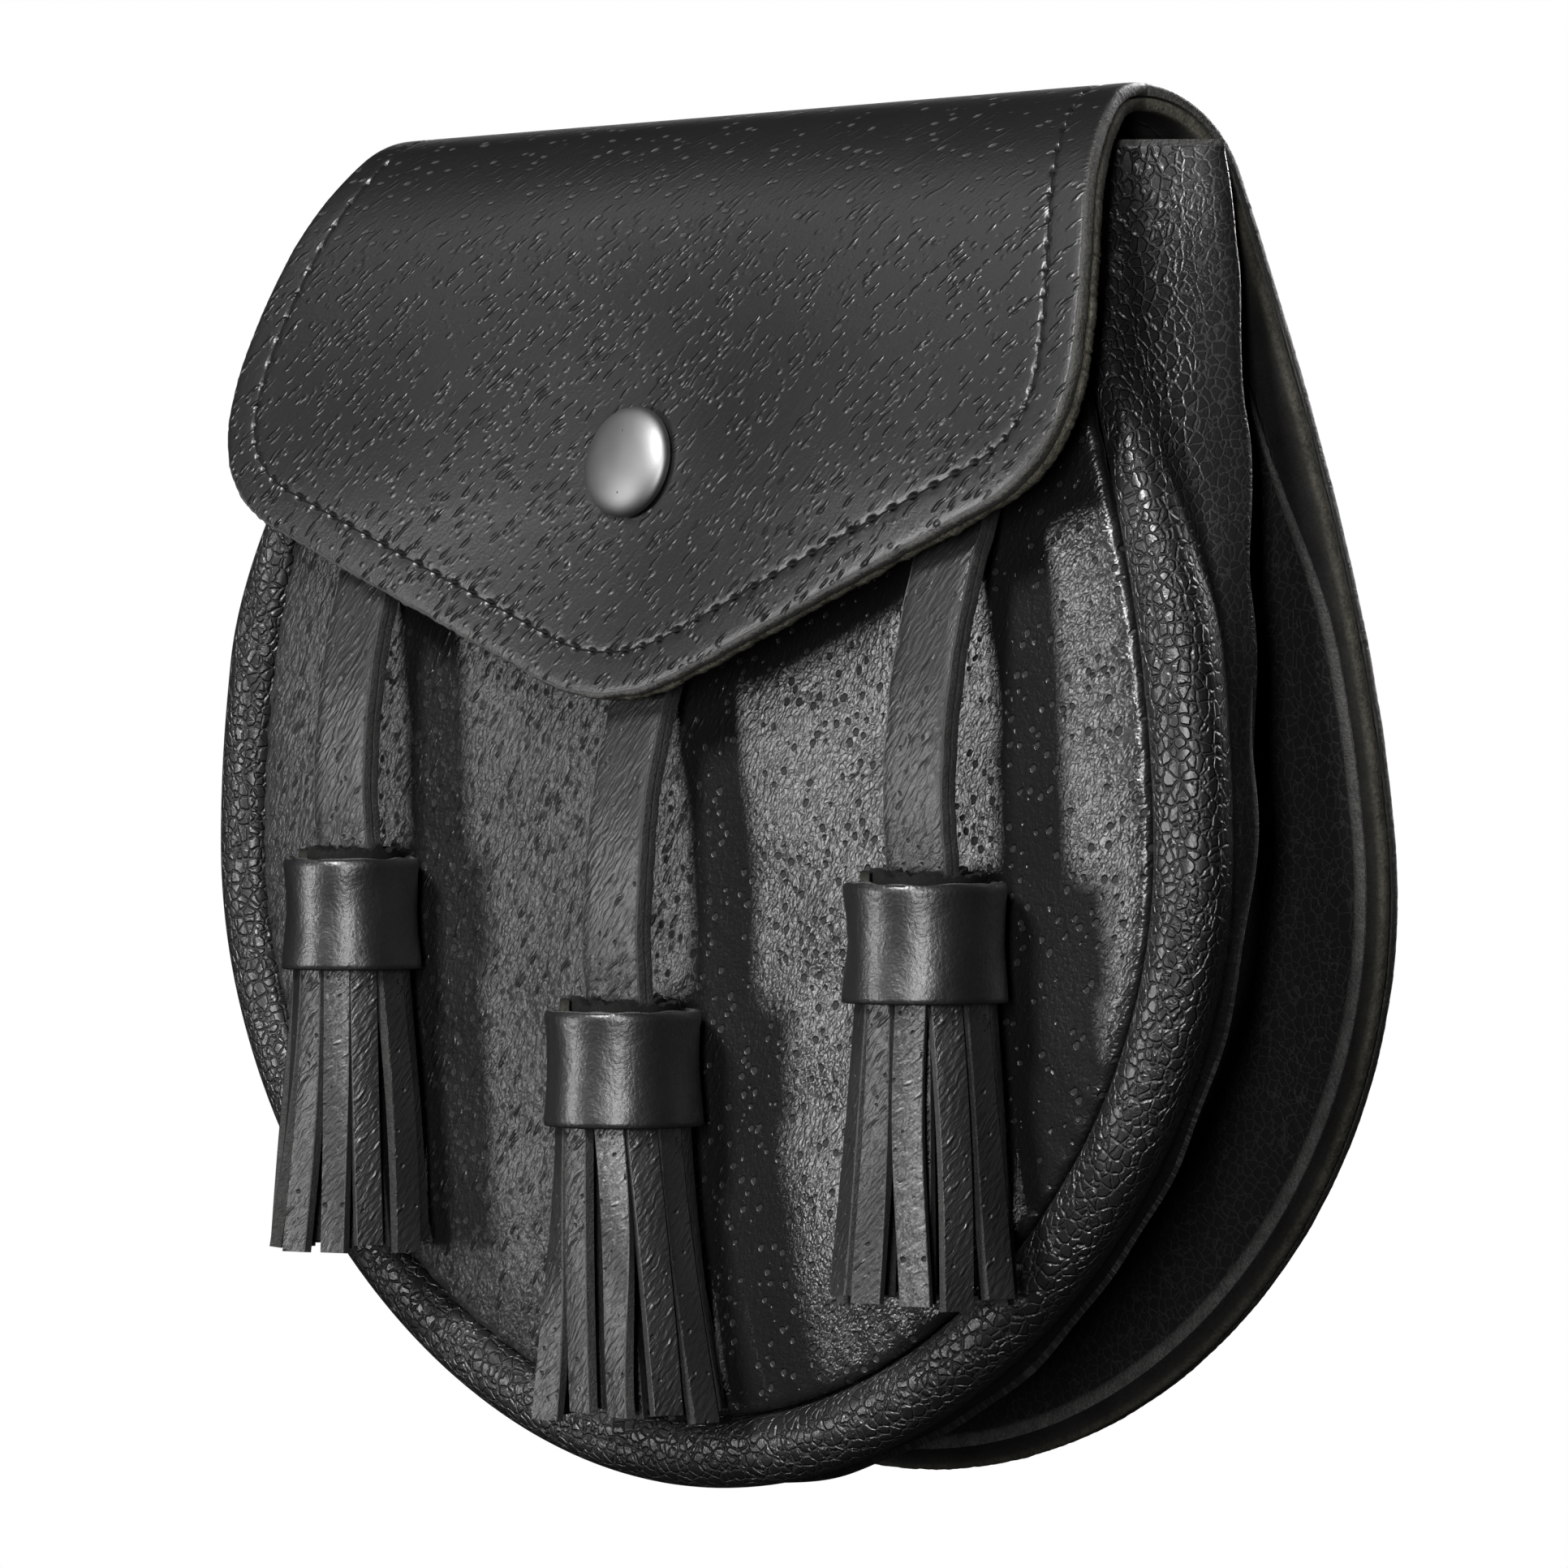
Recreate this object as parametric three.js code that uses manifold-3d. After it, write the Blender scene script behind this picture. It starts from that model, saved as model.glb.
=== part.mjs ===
import * as THREE from 'three'
import { mergeVertices } from 'three/addons/utils/BufferGeometryUtils.js'
import Module from 'manifold-3d'

const wasm = await Module()
wasm.setup()

// A leather pouch that hangs at the front of a belt. Lengths are millimetres, with +X to the
// viewer's right, -Y towards the viewer and +Z up. The pieces are laid out round a datum in
// the pouch, and the last lines bring the hanging point on the back to the origin.

// Leather walls and the clearance between neighbours.
const OUTER_PLY = 1.8
const LINING_PLY = 1.7
const PANEL_WALL = 2.0
const GUSSET_WALL = 1.3
const GAP = 0.3

// The fold over the top, measured on the outer face.
const CREST_Y = 13.8
const CREST_Z = 78.8
const FOLD_RADIUS = 13
const BACK_LEAN = 6.2

// The blank, measured along the leather from the crest of the fold.
const CREST_HALF = 68.4
const FLAP_HALF = 78.3
const FLAP_LENGTH = 90.3
const FLAP_SLOPE = 0.4
const FLAP_CORNER = 13
const FLAP_TIP = 6.7
const FLAP_FULLNESS = 0.68
const CREST_EASE = 0.24
const TIP_FLAT = 1.6
const BACK_HALF = 92.2
const BACK_WIDEST = 107.2
const BACK_LENGTH = 193.4
const BACK_FLARE = 0.3
const BACK_FULLNESS = 0.52

// The front panel, the rolled edge round it and the gusset behind.
const EDGE_BAND = 9.8
const SEAM_Y = -2.0
const SEAM_RECESS = 6.5
const RECESS_START = 5
const PANEL_TOP = 58
const FRONT_NARROWING = 3
const PANEL_PROUD = 1.0
const PANEL_ROLL = 12
const ROLL_HALF_WIDTH = 4.7
const ROLL_HALF_DEPTH = 4.2
const ROLL_SETBACK = 2.6
const ROLL_TOP = 56
const ROLL_TAPER = 0.55
const GUSSET_TOP = 71.2
const GUSSET_DEPTH = 22
const GUSSET_TUCK = 2.4
const GUSSET_SHOULDER = 3
const RIDGE_BEND = 1.6
const SEAM_BEND = 1.2
const SEAM_INSET = 19
const FLANGE_INSET = 2.6
const MOUTH_SEAM = 6
const MOUTH_FLANGE = 2

// The snap through the flap.
const SNAP_Z = 30.8
const SNAP_RADIUS = 7.5
const SNAP_DOME = 2.6
const SHANK_RADIUS = 2.2
const FLARE_RADIUS = 4.2
const FLARE_THICK = 0.7
const SNAP_PULL = 3.6
const PULL_REACH = 28
const STUD_RADIUS = 4.6
const STUD_HEIGHT = 1.4

// Straps and tassels.
const STRAP_WIDTH = 10.4
const STRAP_THICK = 2.8
const STRAP_GRIP = 6
const COLLAR_RADIUS = 10.6
const COLLAR_HEIGHT = 15.3
const COLLAR_WALL = 1.6
const COLLAR_WAIST = 0.5
const CORE_DEPTH = 1
const STRIP_COUNT = 12
const STRIP_WIDTH = 3.9
const STRIP_THICK = 1.9
const FRINGE_LENGTH = 38.6
const STRIP_RAGGED = 0.025
const FLARE_SIDE = 6.6
const FLARE_FRONT = 4.6
const FLARE_POWER = 1.2

// The loops for a waist strap, sewn to the back.
const LOOP_SPACING = 90
const LOOP_WIDTH = 22
const LOOP_SLOT = 32
const LOOP_CLEAR = 8
const LOOP_THICK = 2.2
const LOOP_FOOT = 9
const HANG_Z = 40

// How finely the outlines are walked, and how many rows, columns and sides each face has.
const OUTLINE_STEPS = 160
const OUTLINE_ROWS = 17
const ARC_ROWS = 9
const FOLD_COLUMNS = 9
const COLUMN_CROWD = 0.4
const RIM_POINTS = 20
const PANEL_ROWS = 16
const PANEL_COLUMNS = 10
const ROLL_STATIONS = 48
const ROLL_SIDES = 8
const GUSSET_STATIONS = 48
const STRAP_STEPS = 14
const ROUND_SIDES = 16
const COLLAR_SIDES = 20

// Bends of the flap from the crest to its straight end: the radius is a share of
// FOLD_RADIUS, and the turn is in degrees.
const FLAP_BENDS = [
  { radius: 1, turn: 42 },
  { radius: 3.08, turn: 25 },
  { radius: 12.3, turn: 10 },
  { radius: 6.9, turn: 7 },
]

// The gusset's ridge from the bottom of the pouch to the mouth. Along is a share of the half
// girth, depth a share of GUSSET_DEPTH behind the front seam, and inset a share of EDGE_BAND
// in from the rim of the back.
const RIDGE = [
  { along: 0, depth: 0.63, inset: 0.1 },
  { along: 0.2, depth: 0.57, inset: 0.2 },
  { along: 0.36, depth: 0.55, inset: 0.32 },
  { along: 0.54, depth: 0.54, inset: 0.34 },
  { along: 0.64, depth: 0.54, inset: 0.23 },
  { along: 0.74, depth: 0.62, inset: 0.11 },
  { along: 0.84, depth: 0.81, inset: 0.05 },
  { along: 0.93, depth: 0.95, inset: -0.16 },
  { along: 1, depth: 0.97, inset: -0.38 },
]

// The strap between the panel and the tassel: down is a share of its length, and out a share
// of the tassel's stand-off.
const STRAP_BOW = [
  { down: 0, out: 0 },
  { down: 0.16, out: 0.1 },
  { down: 0.34, out: 0.6 },
  { down: 0.55, out: 1.0 },
  { down: 0.75, out: 1.13 },
  { down: 0.9, out: 1.07 },
  { down: 1, out: 1 },
]

// The three tassels: across is the strap's place as a share of BACK_HALF, anchor the height
// where it is sewn on as a share of PANEL_TOP, drop how far the collar's top hangs below the
// datum as a share of BACK_LENGTH, girth a share of COLLAR_RADIUS, and lean how far the fringe
// swings to the side as a share of it.
const TASSELS = [
  { name: 'left', across: -0.567, anchor: 0.655, drop: 0.114, girth: 0.9, lean: 0 },
  { name: 'middle', across: 0.013, anchor: 0.38, drop: 0.215, girth: 1, lean: 0.34 },
  { name: 'right', across: 0.6, anchor: 0.655, drop: 0.124, girth: 1, lean: 0.06 },
]

const radians = THREE.MathUtils.degToRad
const BACK_TURN = 90 - BACK_LEAN
const BACK_BENDS = [{ radius: 1, turn: BACK_TURN }]
const BACK_ARC = FOLD_RADIUS * radians(BACK_TURN)
const FLAP_ARC = FLAP_BENDS.slice(0, 2)
  .reduce((sum, { radius, turn }) => sum + radius * FOLD_RADIUS * radians(turn), 0)
const FOLD_DEPTH = OUTER_PLY + GAP + LINING_PLY
const LEATHER = new THREE.MeshStandardMaterial({ color: 0x2b2b2c, roughness: 0.55, metalness: 0 })
const METAL = new THREE.MeshStandardMaterial({ color: 0x4a4c50, roughness: 0.3, metalness: 1 })

// A point on the fold: run is the distance along the outer face from the crest, positive
// down the back and negative down the flap, and depth is how far in from the outer face.
function fold(run, depth) {
  const bends = run < 0 ? FLAP_BENDS : BACK_BENDS
  const side = run < 0 ? -1 : 1
  let left = Math.abs(run)
  let heading = 0
  let y = 0
  let z = 0
  for (const bend of bends) {
    const radius = bend.radius * FOLD_RADIUS
    const turn = Math.min(left / radius, radians(bend.turn))
    y += radius * (Math.sin(heading + turn) - Math.sin(heading))
    z -= radius * (Math.cos(heading) - Math.cos(heading + turn))
    heading += turn
    left -= turn * radius
  }
  y += left * Math.cos(heading)
  z -= left * Math.sin(heading)
  const out = new THREE.Vector3(0, side * Math.sin(heading), Math.cos(heading))
  return {
    y: CREST_Y + side * y - depth * out.y,
    z: CREST_Z + z - depth * out.z,
    out,
  }
}

// The run down the flap at which its outer face reaches a height.
function flapRun(height) {
  let low = 0
  let high = FLAP_LENGTH
  for (let step = 0; step < 40; step += 1) {
    const middle = (low + high) / 2
    if (fold(-middle, 0).z > height) {
      low = middle
    } else {
      high = middle
    }
  }
  return -low
}

// A value from a table of rows, eased between the two rows that hold the place.
function fromTable(rows, key, column, place) {
  let next = rows.findIndex((row) => row[key] >= place)
  if (next < 0) {
    next = rows.length - 1
  }
  const last = Math.max(next - 1, 0)
  const share = THREE.MathUtils.smoothstep(place, rows[last][key], rows[next][key])
  return THREE.MathUtils.lerp(rows[last][column], rows[next][column], share)
}

// Signed volume, which is positive when the faces point out.
function volume(geometry) {
  const place = geometry.getAttribute('position')
  const index = geometry.getIndex()
  const [a, b, c] = [new THREE.Vector3(), new THREE.Vector3(), new THREE.Vector3()]
  let sum = 0
  for (let at = 0; at < index.count; at += 3) {
    a.fromBufferAttribute(place, index.getX(at))
    b.fromBufferAttribute(place, index.getX(at + 1))
    c.fromBufferAttribute(place, index.getX(at + 2))
    sum += a.dot(b.cross(c)) / 6
  }
  return sum
}

// A geometry from points and triangles, turned so that its faces point out.
function indexed(points, faces) {
  const geometry = new THREE.BufferGeometry()
  const flat = points.flatMap((point) => [point.x, point.y, point.z])
  geometry.setAttribute('position', new THREE.Float32BufferAttribute(flat, 3))
  geometry.setIndex(faces.flat())
  if (volume(geometry) < 0) {
    geometry.setIndex(faces.flatMap(([a, b, c]) => [a, c, b]))
  }
  return geometry
}

// A closed wall over a grid: point(row, column, side) gives its outer face at side 0 and its
// inner face at side 1, and the four edges join them.
function gridWall(rows, columns, point) {
  const points = []
  const faces = []
  const at = (row, column, side) => (side * (rows + 1) + row) * (columns + 1) + column
  const quad = (a, b, c, d) => faces.push([a, b, c], [a, c, d])
  for (const side of [0, 1]) {
    for (let row = 0; row <= rows; row += 1) {
      for (let column = 0; column <= columns; column += 1) {
        points.push(point(row, column, side))
      }
    }
  }
  for (let row = 0; row < rows; row += 1) {
    for (let column = 0; column < columns; column += 1) {
      quad(at(row, column, 0), at(row + 1, column, 0), at(row + 1, column + 1, 0), at(row, column + 1, 0))
      quad(at(row, column, 1), at(row, column + 1, 1), at(row + 1, column + 1, 1), at(row + 1, column, 1))
    }
  }
  for (let row = 0; row < rows; row += 1) {
    quad(at(row, 0, 0), at(row, 0, 1), at(row + 1, 0, 1), at(row + 1, 0, 0))
    quad(at(row + 1, columns, 0), at(row + 1, columns, 1), at(row, columns, 1), at(row, columns, 0))
  }
  for (let column = 0; column < columns; column += 1) {
    quad(at(0, column + 1, 0), at(0, column + 1, 1), at(0, column, 1), at(0, column, 0))
    quad(at(rows, column, 0), at(rows, column, 1), at(rows, column + 1, 1), at(rows, column + 1, 0))
  }
  return indexed(points, faces)
}

// A closed bar through rings of equal size, capped at both ends.
function ringBar(rings) {
  const size = rings[0].length
  const faces = []
  for (let row = 0; row + 1 < rings.length; row += 1) {
    for (let k = 0; k < size; k += 1) {
      const a = row * size + k
      const b = row * size + ((k + 1) % size)
      faces.push([a, b, b + size], [a, b + size, a + size])
    }
  }
  const end = (rings.length - 1) * size
  for (let k = 1; k + 1 < size; k += 1) {
    faces.push([0, k + 1, k], [end, end + k, end + k + 1])
  }
  return indexed(rings.flat(), faces)
}

// A geometry as a solid that can be joined and cut, and back.
function toSolid(geometry) {
  const bare = geometry.clone()
  bare.deleteAttribute('normal')
  bare.deleteAttribute('uv')
  const merged = mergeVertices(bare, 1e-4)
  return new wasm.Manifold(new wasm.Mesh({
    numProp: 3,
    vertProperties: new Float32Array(merged.getAttribute('position').array),
    triVerts: new Uint32Array(merged.getIndex().array),
  }))
}

function toGeometry(solid) {
  const mesh = solid.getMesh()
  const geometry = new THREE.BufferGeometry()
  geometry.setAttribute('position', new THREE.Float32BufferAttribute(mesh.vertProperties, 3))
  geometry.setIndex(Array.from(mesh.triVerts))
  return geometry
}

// Half outline of the flap as half width against run from the crest, tip first.
function flapEdge() {
  const corner = FLAP_LENGTH + (FLAP_TIP - FLAP_HALF) * FLAP_SLOPE
  const shoulder = corner - FLAP_CORNER
  const edge = new THREE.Path()
  edge.moveTo(TIP_FLAT, FLAP_LENGTH)
  edge.quadraticCurveTo(FLAP_TIP, FLAP_LENGTH, 2 * FLAP_TIP, FLAP_LENGTH - FLAP_TIP * FLAP_SLOPE)
  edge.lineTo(FLAP_HALF - FLAP_CORNER, corner + FLAP_CORNER * FLAP_SLOPE)
  edge.quadraticCurveTo(FLAP_HALF, corner, FLAP_HALF, shoulder)
  edge.bezierCurveTo(
    FLAP_HALF, FLAP_FULLNESS * shoulder,
    CREST_HALF, CREST_EASE * shoulder,
    CREST_HALF, 0,
  )
  return edge.getSpacedPoints(OUTLINE_STEPS).map((point) => ({ half: point.x, run: -point.y }))
}

// Half outline of the back in the same terms, crest first.
function backEdge() {
  const edge = new THREE.Path()
  const third = BACK_WIDEST / 3
  edge.moveTo(CREST_HALF, 0)
  edge.bezierCurveTo(CREST_HALF + BACK_FLARE * third, third, BACK_HALF, 2 * third, BACK_HALF, BACK_WIDEST)
  const drop = BACK_LENGTH - BACK_WIDEST
  edge.bezierCurveTo(
    BACK_HALF, BACK_WIDEST + BACK_FULLNESS * drop,
    BACK_FULLNESS * BACK_HALF, BACK_LENGTH,
    TIP_FLAT, BACK_LENGTH,
  )
  return edge.getSpacedPoints(OUTLINE_STEPS).map((point) => ({ half: point.x, run: point.y }))
}

// How far the snap pulls the flap back at a place on it.
function pull(x, z) {
  return SNAP_PULL * Math.exp(-(x * x + (z - SNAP_Z) ** 2) / PULL_REACH ** 2)
}

// Some items of a list, evenly spread from its first to its last.
function spread(list, count) {
  return Array.from({ length: count }, (_, k) => list[Math.round((k * (list.length - 1)) / (count - 1))])
}

// The half width of an outline at a run from the crest.
function halfAt(edge, run) {
  const sorted = [...edge].sort((a, b) => a.run - b.run)
  const next = Math.max(sorted.findIndex((point) => point.run >= run), 1)
  const [a, b] = [sorted[next - 1], sorted[next]]
  return THREE.MathUtils.mapLinear(run, a.run, b.run, a.half, b.half)
}

// The rows of the blank from the tip of the flap to the foot of the back: close together
// round the fold, and spaced along the outline beyond it.
function blankRows() {
  const flap = flapEdge()
  const back = backEdge()
  const rows = spread(flap.filter((point) => point.run < -FLAP_ARC), OUTLINE_ROWS + 1).slice(0, -1)
  for (let k = -ARC_ROWS; k < 0; k += 1) {
    const run = (k * FLAP_ARC) / ARC_ROWS
    rows.push({ half: halfAt(flap, run), run })
  }
  for (let k = 0; k <= ARC_ROWS; k += 1) {
    const run = (k * BACK_ARC) / ARC_ROWS
    rows.push({ half: halfAt(back, run), run })
  }
  rows.push(...spread(back.filter((point) => point.run > BACK_ARC), OUTLINE_ROWS + 1).slice(1))
  return rows
}
const BLANK_ROWS = blankRows()

// One ply of the blank, from the tip of the flap over the crest to the foot of the back.
function blankPly(depth, thick) {
  return gridWall(BLANK_ROWS.length - 1, FOLD_COLUMNS, (row, column, side) => {
    const { half, run } = BLANK_ROWS[row]
    const share = (2 * column) / FOLD_COLUMNS - 1
    const x = half * THREE.MathUtils.lerp(share, share ** 3, COLUMN_CROWD)
    const { y, z } = fold(run, depth + side * thick)
    return new THREE.Vector3(x, y + (run < 0 ? pull(x, z) : 0), z)
  })
}

// The U of the rim as it is seen from the front, from the left of the mouth round the bottom
// to the right of the mouth.
function rimCurve() {
  const height = (run) => fold(Math.max(run, BACK_ARC), 0).z + Math.max(BACK_ARC - run, 0)
  const half = backEdge().map((point) => new THREE.Vector3(point.half, 0, height(point.run)))
  const down = spread(half.filter((point) => point.z < GUSSET_TOP), RIM_POINTS)
  down[0].z = GUSSET_TOP
  const left = down.map((point) => new THREE.Vector3(-point.x, 0, point.z))
  return new THREE.CatmullRomCurve3([...left, ...down.reverse()])
}
const RIM = rimCurve()

// A station on the rim: its point and the direction out of the pouch, which is level at the
// straight edge of the mouth.
function station(share) {
  const point = RIM.getPointAt(share)
  const run = RIM.getTangentAt(share)
  const girth = Math.abs(2 * share - 1)
  const outX = girth === 1 ? Math.sign(point.x) : run.z
  const outZ = girth === 1 ? 0 : -run.x
  return { x: point.x, z: point.z, outX, outZ, girth }
}

// The plane of the front seam, which falls back under the flap near the mouth.
function seamY(z) {
  const rise = Math.max(z - RECESS_START, 0) / (GUSSET_TOP - RECESS_START)
  return SEAM_Y + SEAM_RECESS * rise * rise
}

// How far the front seam lies in from the rim, more where the front narrows to the mouth.
function seamInset(z) {
  return EDGE_BAND + FRONT_NARROWING * THREE.MathUtils.smoothstep(z, RECESS_START, PANEL_TOP)
}

// The point that lies a distance in from the rim at a station.
function inFromRim(at, inset, y) {
  return new THREE.Vector3(at.x - at.outX * inset, y, at.z - at.outZ * inset)
}

// The front face of the back at a height, flat below the fold and round inside it.
function liningY(z) {
  const foot = fold(BACK_LENGTH, FOLD_DEPTH)
  const head = fold(BACK_ARC, FOLD_DEPTH)
  const rise = z - (CREST_Z - FOLD_RADIUS)
  if (z > head.z) {
    return CREST_Y + Math.sqrt(Math.max((FOLD_RADIUS - FOLD_DEPTH) ** 2 - rise * rise, 0))
  }
  return head.y + (foot.y - head.y) * (head.z - z) / (head.z - foot.z)
}

// The rim's share at which its right side reaches a height.
function shareAt(height) {
  let low = 0.5
  let high = 1
  for (let step = 0; step < 30; step += 1) {
    const middle = (low + high) / 2
    if (station(middle).z < height) {
      low = middle
    } else {
      high = middle
    }
  }
  return low
}

const SEAM_POINTS = Array.from({ length: OUTLINE_STEPS + 1 }, (_, k) => {
  const at = station(k / OUTLINE_STEPS)
  return inFromRim(at, seamInset(at.z), 0)
})

// The front face of the panel, flat in the middle and rolled back to its seam.
function panelY(x, z) {
  const reach = Math.min(...SEAM_POINTS.map((point) => Math.hypot(point.x - x, point.z - z)))
  const share = 1 - Math.min(reach / PANEL_ROLL, 1)
  return seamY(z) - PANEL_PROUD * (1 - share * share)
}

// The front panel, row by row from its straight top edge to the bottom of its U.
function frontPanel() {
  const mouth = shareAt(PANEL_TOP)
  return gridWall(PANEL_ROWS, PANEL_COLUMNS, (row, column, side) => {
    const share = mouth + (0.5 - mouth) * (row / PANEL_ROWS)
    const at = station(share)
    const edge = inFromRim(at, seamInset(at.z) + GAP, 0)
    const x = Math.max(edge.x, TIP_FLAT) * ((2 * column) / PANEL_COLUMNS - 1)
    return new THREE.Vector3(x, panelY(x, edge.z) + side * PANEL_WALL, edge.z)
  })
}

// The size of the rolled edge's section at a height, as a share of its full size.
function rollSize(z) {
  return THREE.MathUtils.lerp(1, ROLL_TAPER, THREE.MathUtils.smoothstep(z, RECESS_START, ROLL_TOP))
}

// The rolled edge round the panel, thinner towards the mouth.
function rolledEdge() {
  const mouth = shareAt(ROLL_TOP)
  const rings = []
  for (let k = 0; k <= ROLL_STATIONS; k += 1) {
    const at = station(THREE.MathUtils.lerp(1 - mouth, mouth, k / ROLL_STATIONS))
    const size = rollSize(at.z)
    const middle = seamInset(at.z) - GAP - ROLL_HALF_WIDTH * size
    const ring = []
    for (let side = 0; side < ROLL_SIDES; side += 1) {
      const angle = (2 * Math.PI * (side + 0.5)) / ROLL_SIDES
      const inset = middle - ROLL_HALF_WIDTH * size * Math.cos(angle)
      const y = seamY(at.z) + ROLL_SETBACK + ROLL_HALF_DEPTH * size * Math.sin(angle)
      ring.push(inFromRim(at, inset, y))
    }
    rings.push(ring)
  }
  return ringBar(rings)
}

// The middle of the gusset's wall at a station: tucked in behind the rolled edge, out over
// the valley to the ridge, in to the seam on the back, and out again as a sewn flange.
function gussetSection(at) {
  const behind = ROLL_SETBACK + ROLL_HALF_DEPTH * rollSize(at.z) + GAP + GUSSET_WALL / 2
  const front = seamY(at.z) + behind
  const middle = seamInset(at.z) - GAP - ROLL_HALF_WIDTH * rollSize(at.z)
  const mouth = THREE.MathUtils.smoothstep(at.z, RECESS_START, GUSSET_TOP)
  const ridgeY = SEAM_Y + GUSSET_DEPTH * fromTable(RIDGE, 'along', 'depth', at.girth)
  const ridgeIn = EDGE_BAND * fromTable(RIDGE, 'along', 'inset', at.girth) + GUSSET_WALL / 2
  const clear = (1 + 2 * mouth) * GAP + GUSSET_WALL / 2
  const onBack = (inset) => liningY(at.z - at.outZ * inset) - clear
  const seamIn = THREE.MathUtils.lerp(SEAM_INSET, ridgeIn + MOUTH_SEAM, mouth)
  const flangeIn = THREE.MathUtils.lerp(FLANGE_INSET, seamIn - MOUTH_FLANGE, mouth)
  const out = (share) => THREE.MathUtils.lerp(middle - GUSSET_SHOULDER, ridgeIn, share)
  const back = (share) => THREE.MathUtils.lerp(front, ridgeY, share)
  return [
    { inset: middle + GUSSET_TUCK, y: front },
    { inset: middle - 0.3 * GUSSET_SHOULDER, y: back(0.05) },
    { inset: out(0.2), y: back(0.3) },
    { inset: out(0.8), y: back(0.75) },
    { inset: ridgeIn, y: ridgeY - 0.4 * RIDGE_BEND },
    { inset: ridgeIn + 0.2 * RIDGE_BEND, y: ridgeY + 0.25 * RIDGE_BEND },
    { inset: ridgeIn + RIDGE_BEND, y: ridgeY + 0.75 * RIDGE_BEND },
    { inset: seamIn + 0.3 * SEAM_BEND, y: onBack(seamIn) - 0.4 * SEAM_BEND },
    { inset: seamIn - SEAM_BEND, y: onBack(seamIn - SEAM_BEND) },
    { inset: flangeIn, y: onBack(flangeIn) },
  ]
}

// The gusset, a wall of one thickness along the line of its sections.
function gusset() {
  const sections = []
  for (let k = 0; k <= GUSSET_STATIONS; k += 1) {
    const at = station(k / GUSSET_STATIONS)
    sections.push({ at, line: gussetSection(at) })
  }
  const last = sections[0].line.length - 1
  return gridWall(GUSSET_STATIONS, last, (row, column, side) => {
    const { at, line } = sections[row]
    const before = line[Math.max(column - 1, 0)]
    const after = line[Math.min(column + 1, last)]
    const run = new THREE.Vector2(after.inset - before.inset, after.y - before.y).normalize()
    const shift = (side - 0.5) * GUSSET_WALL
    return inFromRim(at, line[column].inset + run.y * shift, line[column].y - run.x * shift)
  })
}

const FLAP_SNAP = flapRun(SNAP_Z)
const SNAP_OUT = fold(FLAP_SNAP, 0).out
const SNAP_SEAT = new THREE.Vector3(0, fold(FLAP_SNAP, 0).y + pull(0, SNAP_Z), SNAP_Z)

// A piece turned and moved to where the snap goes through the flap.
function alongSnap(mesh) {
  mesh.quaternion.setFromUnitVectors(new THREE.Vector3(0, 1, 0), SNAP_OUT)
  mesh.position.copy(SNAP_SEAT)
  return mesh
}

// A ply of the blank with the hole for the snap's shank.
function drilledPly(depth, thick) {
  const radius = SHANK_RADIUS + GAP
  const drill = new THREE.CylinderGeometry(radius, radius, 6 * FOLD_DEPTH, ROUND_SIDES)
  const tool = alongSnap(new THREE.Mesh(drill))
  tool.updateMatrix()
  drill.applyMatrix4(tool.matrix)
  return toGeometry(toSolid(blankPly(depth, thick)).subtract(toSolid(drill)))
}

// The snap's cap, its shank through both plies and the flare that holds it.
function snapCap() {
  const seat = 2 * GAP
  const inner = -FOLD_DEPTH - 2 * GAP
  const rim = SNAP_RADIUS
  return new THREE.LatheGeometry([
    new THREE.Vector2(0, inner - FLARE_THICK),
    new THREE.Vector2(FLARE_RADIUS, inner - FLARE_THICK),
    new THREE.Vector2(FLARE_RADIUS, inner),
    new THREE.Vector2(SHANK_RADIUS, inner),
    new THREE.Vector2(SHANK_RADIUS, GAP),
    new THREE.Vector2(0.92 * rim, seat),
    new THREE.Vector2(rim, seat + 0.12 * SNAP_DOME),
    new THREE.Vector2(0.97 * rim, seat + 0.3 * SNAP_DOME),
    new THREE.Vector2(0.8 * rim, seat + 0.62 * SNAP_DOME),
    new THREE.Vector2(0.5 * rim, seat + 0.88 * SNAP_DOME),
    new THREE.Vector2(0, seat + SNAP_DOME),
  ], ROUND_SIDES)
}

// The stud on the panel that the snap closes on.
function snapStud() {
  return new THREE.LatheGeometry([
    new THREE.Vector2(0, 0),
    new THREE.Vector2(STUD_RADIUS, 0),
    new THREE.Vector2(STUD_RADIUS, 0.5 * STUD_HEIGHT),
    new THREE.Vector2(0.6 * STUD_RADIUS, 0.5 * STUD_HEIGHT),
    new THREE.Vector2(0.6 * STUD_RADIUS, STUD_HEIGHT),
    new THREE.Vector2(0, STUD_HEIGHT),
  ], ROUND_SIDES)
}

// The panel's face where the tassels lie, and where a strap rests on it.
const PANEL_FACE = SEAM_Y - PANEL_PROUD
const STRAP_REST = PANEL_FACE - GAP - STRAP_THICK / 2

// The middle of a tassel, which hangs against the panel.
function tasselY(girth) {
  return PANEL_FACE - GAP - girth * COLLAR_RADIUS
}

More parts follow.
